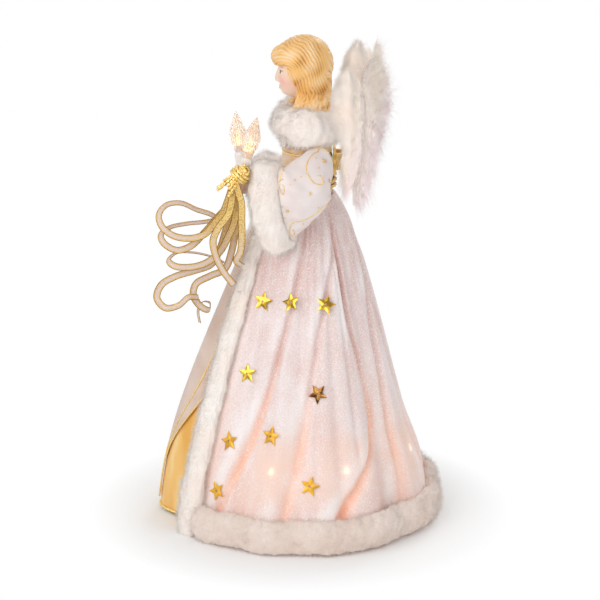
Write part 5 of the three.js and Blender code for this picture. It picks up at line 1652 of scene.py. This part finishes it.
def hand(side, name):
    """Closed hand round the candle, with its wrist back into the cuff."""
    _, _, _, ahead = (v[0] for v in sleeve_frame(side, 1))
    axis = unit(np.array(CANDLE_AXIS[side]))
    back = unit(axis * (ahead @ axis) - ahead)
    aside = np.cross(axis, back) * side
    centre = hand_centre(side)

    def curled(first, last, count, bend, rise):
        a = np.linspace(first, last, count)[:, None]
        return centre + axis * rise + (np.cos(a) * back + np.sin(a) * aside) * bend

    solids = []
    first, last = FINGER_TURN
    for i in range(FINGERS):
        finger = curled(first, last - FINGER_TURN_STEP * i, 18, FINGER_BEND, FINGER_TOP - FINGER_PITCH * i)
        solids.append(tube(finger, FINGER_RADIUS, 9))
    thumb = curled(*THUMB_TURN, 14, THUMB_BEND, np.linspace(*THUMB_RISE, 14)[:, None])
    solids.append(tube(thumb, np.linspace(*THUMB_RADII, 14), 9))
    height = np.linspace(-PALM_HALF_HEIGHT, PALM_HALF_HEIGHT, 8)[:, None]
    palm = centre + back * np.linspace(*PALM_BACK, 8)[:, None] + axis * height
    solids.append(tube(palm, PALM_RADIUS, 10))
    wrist = centre + back * WRIST_BACK - ahead * np.linspace(0, WRIST_LENGTH, 10)[:, None]
    solids.append(tube(wrist, np.linspace(WRIST_HAND_RADIUS, WRIST_RADIUS, 10), 14))
    form = rounded(solids, HAND_GRAIN, HAND_SOFTENING)
    piece(f"{name}_closed_hand", form, SKIN_LOOK, f"{name}_arm", [f"{name}_hand"])


def candle(side, name):
    r, low, high = CANDLE_RADIUS, -CANDLE_BELOW_HAND, CANDLE_ABOVE_HAND
    bore, top = SPIGOT_RADIUS * 0.8, high + SPIGOT_LENGTH
    profile = (
        (0, low), (r * 0.86, low), (r, low + 0.0006), (r, 0), (r * 0.98, high - 0.0035),
        (r * 1.04, high - 0.0028), (r * 1.04, high - 0.0016), (r * 0.98, high - 0.0010),
        (r * 0.98, high - 0.0002), (r * 0.9, high), (SPIGOT_RADIUS, high), (SPIGOT_RADIUS, top),
        (bore, top), (bore, high + 0.0005), (0, high + 0.0005),
    )
    points, faces = lathe(profile, 48)
    solid = (to_candle(side, points), faces)
    piece(f"{name}_wax_tube", solid, WAX, f"{name}_arm", [f"{name}_candle_tube"])


def lens(side, name):
    """Hollow flame with pressed facets, that pulls off the candle."""
    a = turns(LENS_SIDES)
    foot = CANDLE_ABOVE_HAND + GAP
    rows = []
    for i, (height, radius) in enumerate(LENS_LEVELS):
        reach = radius * np.take(LENS_FACETS, (np.arange(LENS_SIDES) + 2 * i) % len(LENS_FACETS))
        rows.append(np.stack([reach * np.cos(a), reach * np.sin(a), np.full(LENS_SIDES, foot + height)], -1))
    outer = np.array(rows)
    inner = outer * [LENS_BORE, LENS_BORE, 1]
    inner[:, :, 2] = np.minimum(inner[:, :, 2], foot + LENS_LENGTH - LENS_TIP_WALL)
    points, faces = shell(outer, inner, True)
    solid = facing_out((to_candle(side, points), faces))
    piece(f"{name}_faceted_flame", solid, FLAME_GLASS, f"{name}_lens",
          [f"{name}_flame_lens"], False)


# Ribbon tie

def ribbon_tie():
    """Gathered glitter ribbon, wound three times round the bundle below the candle."""
    rng = np.random.default_rng(71)
    across = unit(np.cross(ribbon_lead, [1, 0, 0]))
    beside = np.array([1.0, 0, 0])
    solids = []
    for i, a in enumerate(turns(TIE_STRANDS)):
        spread = beside * TIE_HALF[0] * math.cos(a) + across * TIE_HALF[1] * math.sin(a)
        bow = spread * TIE_BOW + rng.normal(size=3) * TIE_STRAY
        first = -rng.uniform(*TIE_STRAND_BACK)
        last = rng.uniform(*TIE_STRAND_FRONT)
        stops = ((first, spread * 0.7), (-0.001, spread), (0.005, spread * 0.95), (last, spread + bow))
        route = [tie + ribbon_lead * run + off for run, off in stops]
        line = evenly(spline(route, np.linspace(0, 1, 60)), 34)
        ripple = 1 + 0.25 * np.sin(np.arange(34) * 1.3 + i)
        solids.append(tube(line, TIE_STRAND_RADIUS * ripple, 7))
    a = np.linspace(0, 2 * np.pi, 60)[:, None]
    ring = beside * TIE_LOOP_HALF[0] * np.cos(a) + across * TIE_LOOP_HALF[1] * np.sin(a)
    for level, reach in TIE_LOOPS:
        solids.append(rope(tie + ribbon_lead * level + ring * reach, TIE_LOOP_RADIUS, TIE_LOOP_PITCH))
    piece("glitter_tie", merged(solids), GLITTER, "left_arm", ["ribbon_tie"])


# Wings

def at_wing(side, points):
    """Turns points drawn in the wing's own plane, root pin on the Z axis, to their place."""
    sweep = math.radians(LEFT_WING_SWEEP if side > 0 else -RIGHT_WING_SWEEP)
    x, y = points[..., 0] * side, points[..., 1]
    turned = np.stack([
        x * math.cos(sweep) - y * math.sin(sweep), x * math.sin(sweep) + y * math.cos(sweep), points[..., 2],
    ], -1)
    return turned + [side * WING_PIN_X, WING_PIN_Y, WAIST_HEIGHT]


def plume_paint(points):
    """Cream beside the wing's arm and lilac at the outer edge, by points in the wing's own plane."""
    root = [(x, 0, z) for x, z in (WING_TIP_ROOT, WING_INNER_ROOT)]
    off = off_segment(points * [1, 0, 1], *root)
    tone = mix(FEATHER_CREAM, FEATHER_LILAC, smoothstep((off - LILAC_FROM) / LILAC_BLEND)[:, None])
    return np.clip(tone * (1 + 0.10 * waves(points, 0.003, 93))[:, None], 0, 1)


def plumes(name, solid, side, off, stands_for=()):
    """Feathers or wisps drawn in the wing's plane, shaded from above and from the face they lie on."""
    points, faces = facing_out((at_wing(side, solid[0]), solid[1]))
    sheen = FLIGHT_SHEEN if off > 0 else DOWN_SHEEN
    nap = unit(sheen + 0.35 * wave_vectors(points, 0.006, 94))
    body = "left_wing" if side > 0 else "right_wing"
    thing = downy(name, (points, faces), nap, FEATHER, body, stands_for)
    paint(thing, plume_paint(solid[0]))


def feather_axis(t, lengths):
    """Root, direction and length of the feather at a share of the wing's arm from tip to root."""
    root = mix(np.array(WING_TIP_ROOT), np.array(WING_INNER_ROOT), t)
    angle = math.radians(mix(FEATHER_TIP_ANGLE, FEATHER_INNER_ANGLE, t**0.9))
    tip, middle, inner = lengths
    length = mix(tip, middle, smoothstep((t - SHORT_FEATHER_SHARE) / (0.5 - SHORT_FEATHER_SHARE)))
    length = length if t < 0.5 else mix(middle, inner, 2 * t - 1)
    return root, np.array([math.cos(angle), math.sin(angle)]), float(length)


def feather(root, way, length, off, bend, rng):
    """Shaft with a vane on both sides, each made of lapping barbs."""
    share = np.linspace(0, 1, 30)
    side_way = np.array([-way[1], way[0]])
    droop = bend * length * share**2
    flat = root + np.outer(share * length, way) + np.outer(droop, side_way)
    height = off * (1 - 0.4 * share) + 0.0012 * np.sin(3 * share)
    shaft = np.stack([flat[:, 0], height, flat[:, 1]], -1)
    solids = [tube(shaft, np.linspace(*SHAFT_RADII, 30))]
    onward = np.array([way[0], 0, way[1]])
    lean = math.radians(BARB_LEAN)
    for sign in (-1, 1):
        count = int(length / BARB_SPACING)
        at = np.linspace(*VANE_RUN, count)
        start = np.stack([np.interp(at, share, shaft[:, k]) for k in range(3)], -1)
        reach = FEATHER_HALF_WIDTH * np.interp(at, VANE_SHARES, VANE_WIDTHS) * rng.uniform(*BARB_REACH, count)
        flat_out = way * math.cos(lean) + sign * side_way * math.sin(lean)
        out = np.array([flat_out[0], 0, flat_out[1]])
        u = BARB_SHARES[None, :, None]
        lines = start[:, None] + reach[:, None, None] * (u * out + BARB_SWEEP * u**2 * onward)
        curl = BARB_CURL * u[..., 0] ** 2 * np.sign(off)
        lines[..., 1] += curl + rng.normal(size=(count, 1)) * BARB_STRAY
        solids.append(spikes(lines, BARB))
    return merged(solids)


def fluff(count, lengths, off, seed):
    """Curled down strands that stand out of the feathers on one face of the wing."""
    rng = np.random.default_rng(seed)
    t = rng.random(count) ** 0.9
    share = rng.uniform(0.0, 0.95, count)
    u = FLUFF_SHARES
    lines = np.zeros((count, len(u), 3))
    face = np.sign(off)
    for i in range(count):
        root, way, length = feather_axis(t[i], lengths)
        side_way = np.array([-way[1], way[0]])
        spread = rng.normal() * FLUFF_FAN
        flow = unit(way * math.cos(spread) + side_way * math.sin(spread))
        base = root + way * length * share[i] + side_way * rng.normal() * FLUFF_SPREAD
        reach = FLUFF_LENGTH * rng.uniform(*FLUFF_REACH)
        lift = rng.uniform(*FLUFF_LIFT) * face
        curl = rng.normal(size=2) * FLUFF_CURL
        lines[i, :, 0] = base[0] + reach * (flow[0] * u + curl[0] * u**2)
        lines[i, :, 2] = base[1] + reach * (flow[1] * u + curl[1] * u**2 - FLUFF_DROOP * u**2)
        lines[i, :, 1] = off + reach * lift * (u - FLUFF_FALL * u**2)
    return spikes(lines, FLUFF_STRAND)


def down_pad():
    """Soft body of down over the upper arm of the wing, in front of its feathers and thin below."""
    rows, columns = DOWN_GRID
    share = np.linspace(0, 1, rows)
    arm = spline(DOWN_ARM, share)
    depth = np.interp(share, np.linspace(0, 1, len(DOWN_HALF_DEPTHS)), DOWN_HALF_DEPTHS)[:, None, None]
    swell = np.sin(np.pi * np.clip(share, 0.015, 0.985))[:, None, None] ** 0.55
    a = turns(columns)[None, :, None]
    across = unit(DOWN_ACROSS)
    forward = np.array([0, 1, 0])
    rings = arm[:, None] + swell * (np.cos(a) * across * DOWN_HALF_HEIGHT + np.sin(a) * forward * depth)
    rings = rings - forward * (depth + DOWN_OFF)
    tufts = sum(height * waves(rings, size, seed) for height, size, seed in DOWN_TUFTS)
    return loft(rings + tufts[..., None] * unit(rings - rings.mean(1, keepdims=True)))


def wing(side, name):
    rng = np.random.default_rng(81 + side)
    for kind, count, lengths, off, seed in WING_FANS:
        solids = []
        for i, t in enumerate(np.linspace(0, 1, count)):
            root, way, length = feather_axis(t, lengths)
            lap = off * (1 + 0.25 * (i % 2))
            solids.append(feather(root, way, length, lap, rng.uniform(*FEATHER_BENDS), rng))
        plumes(f"{name}_{kind}_plumes", merged(solids), side, off, [f"{name}_{kind}_feathers"])
        plumes(f"{name}_{kind}_down", fluff(FLUFF_COUNT, lengths, off, seed + side), side, off)
    points, faces = down_pad()
    points, faces = facing_out((at_wing(side, points), faces))
    triangles = split_quads(faces)
    normals = corner_normals(points, triangles)
    nap = unit(0.5 * normals + DOWN_SHEEN)
    downy(f"{name}_wing_down", (points, [triangles]), nap, DOWN_FUR, f"{name}_wing")
    strands, nap = pile(points, triangles, normals, DOWN_COUNT, DOWN_STRAND, 87 + side, 0.1)
    downy(f"{name}_wing_down_pile", strands, nap, DOWN_FUR, f"{name}_wing")


# Parts that keep their CAD form

def dress(look, *nodes):
    for node in nodes:
        mesh = frame["nodes"][node].data
        mesh.materials.clear()
        mesh.materials.append(look)


# Stage, light and camera

CAMERA_DISTANCE = 1.7
CAMERA_ELEVATION = 17
CAMERA_TARGET = np.array([0, 0, 0.160])
METRES_PER_PIXEL = 0.000725
PICTURE_WIDTH = 600
SENSOR = 36
LIGHT_TARGET = np.array([0, 0, 0.17])
# Lamps of the studio by name, place, size and power
LIGHTS = (
    ("key", (1.1, -0.9, 1.1), 1.8, 15),
    ("fill", (0.9, 1.2, 0.6), 1.0, 3.5),
    ("back", (-1.2, 0.5, 1.0), 0.9, 6),
)
WORLD_LEVEL = 0.42
FLOOR_RADII = (0.0005, 0.06, 0.12, 0.2, 0.3, 0.45, 0.8, 2.0, 6.0)
FLOOR_SIDES = 96
FLOOR_THICKNESS = 0.01
FLOOR_FADE = (0.095, 0.155)


def camera():
    data = bpy.data.cameras.new("photo_camera")
    data.sensor_width = SENSOR
    data.lens = SENSOR * CAMERA_DISTANCE / METRES_PER_PIXEL / PICTURE_WIDTH
    thing = placed("photo_camera", data)
    tilt = math.radians(CAMERA_ELEVATION)
    away = np.array([math.cos(tilt), 0, math.sin(tilt)]) * CAMERA_DISTANCE
    thing.location = CAMERA_TARGET + away
    thing.rotation_euler = (math.pi / 2 - tilt, 0, math.pi / 2)
    bpy.context.scene.camera = thing


def area_light(name, place, size, power):
    data = bpy.data.lights.new(name, "AREA")
    data.shape = "DISK"
    data.size = size
    data.energy = power
    thing = placed(name, data)
    thing.location = place
    way = LIGHT_TARGET - place
    tilt = math.acos(-way[2] / np.linalg.norm(way))
    thing.rotation_euler = (tilt, 0, math.atan2(way[1], way[0]) - math.pi / 2)


def seen_share(nodes, links):
    """1 for rays from the camera, or by mirror or glass, and 0 for the rest."""
    path = nodes.new("ShaderNodeLightPath")
    total = path.outputs["Is Camera Ray"]
    for name in ("Is Glossy Ray", "Is Transmission Ray"):
        add = nodes.new("ShaderNodeMath")
        add.operation = "MAXIMUM"
        links.new(total, add.inputs[0])
        links.new(path.outputs[name], add.inputs[1])
        total = add.outputs[0]
    return total


def world():
    made = bpy.data.worlds.new("studio")
    bpy.context.scene.world = made
    made.use_nodes = True
    nodes, links = made.node_tree.nodes, made.node_tree.links
    background = nodes["Background"]
    background.inputs["Color"].default_value = (1, 1, 1, 1)
    strength = nodes.new("ShaderNodeMapRange")
    links.new(seen_share(nodes, links), strength.inputs["Value"])
    strength.inputs["To Min"].default_value = WORLD_LEVEL
    strength.inputs["To Max"].default_value = 1.0
    links.new(strength.outputs[0], background.inputs["Strength"])


def floor():
    a = turns(FLOOR_SIDES)
    flat = np.zeros((len(FLOOR_RADII), FLOOR_SIDES))
    top = np.stack([np.outer(FLOOR_RADII, np.cos(a)), np.outer(FLOOR_RADII, np.sin(a)), flat], -1)
    mesh = build_mesh("floor", shell(top, top - [0, 0, FLOOR_THICKNESS], True))
    look = Look("pale_floor", (0.97, 0.97, 0.97), 0.9)
    away = look.node("ShaderNodeVectorMath", {"operation": "LENGTH"})
    look.feed(away.inputs[0], look.place)
    first, last = FLOOR_FADE
    fade = look.node("ShaderNodeMapRange", Value=away.outputs["Value"], From_Min=first, From_Max=last)
    seen = look.node("ShaderNodeMath", {"operation": "MULTIPLY"})
    look.feed(seen.inputs[0], fade.outputs[0])
    look.feed(seen.inputs[1], seen_share(look.tree.nodes, look.tree.links))
    white = look.node("ShaderNodeEmission", Color=(1, 1, 1, 1))
    both = look.node("ShaderNodeMixShader")
    for socket, value in zip(both.inputs, (seen, look.shader, white)):
        look.feed(socket, value.outputs[0])
    look.feed(look.tree.nodes["Material Output"].inputs["Surface"], both.outputs[0])
    mesh.materials.append(look.material)
    placed("floor", mesh)


camera()
for number, ribbon_name in enumerate(RIBBONS):
    ribbon(ribbon_name, number)
overskirt()
front_panels()
stars()
bodice()
waist_cord()
head()
ribbon_tie()
fur("collar_fur", "fur_collar", "figure", WHITE_FUR, count=14000, length=0.0042, seed=21, shape=collar_ends)
fur("hem_band_fur", "hem_fur", "figure", SHADED_FUR, count=19000, length=0.0044, seed=22, fall=0.0)
for side, name in ((1, "left"), (-1, "right")):
    sleeve(side, name)
    hand(side, name)
    candle(side, name)
    lens(side, name)
    wing(side, name)
    fur(f"{name}_edge_fur", f"{name}_front_trim", "figure", LIT_TRIM_FUR, count=16000, length=0.0044,
        seed=25 + side)
    fur(f"{name}_cuff_fur", f"{name}_cuff", f"{name}_arm", WHITE_FUR, count=14000, length=0.0042,
        seed=28 + side)
    dress(STEEL_WIRE, f"{name}_arm_wire")
    dress(WRAPPED_WIRE, f"{name}_wing_frame")
    dress(LAMP, f"{name}_candle_bulb")
dress(CARD, "support_cone")
dress(MOULDED, "torso_form")
dress(GILT, "wing_bracket")
dress(LAMP_WIRE, "lamp_wire")
dress(LAMP, *(f"skirt_lamp_{i + 1}" for i in range(len(LAMP_ANGLES))))

for light in LIGHTS:
    area_light(*light)
world()
floor()
bpy.context.scene.view_settings.view_transform = "Standard"
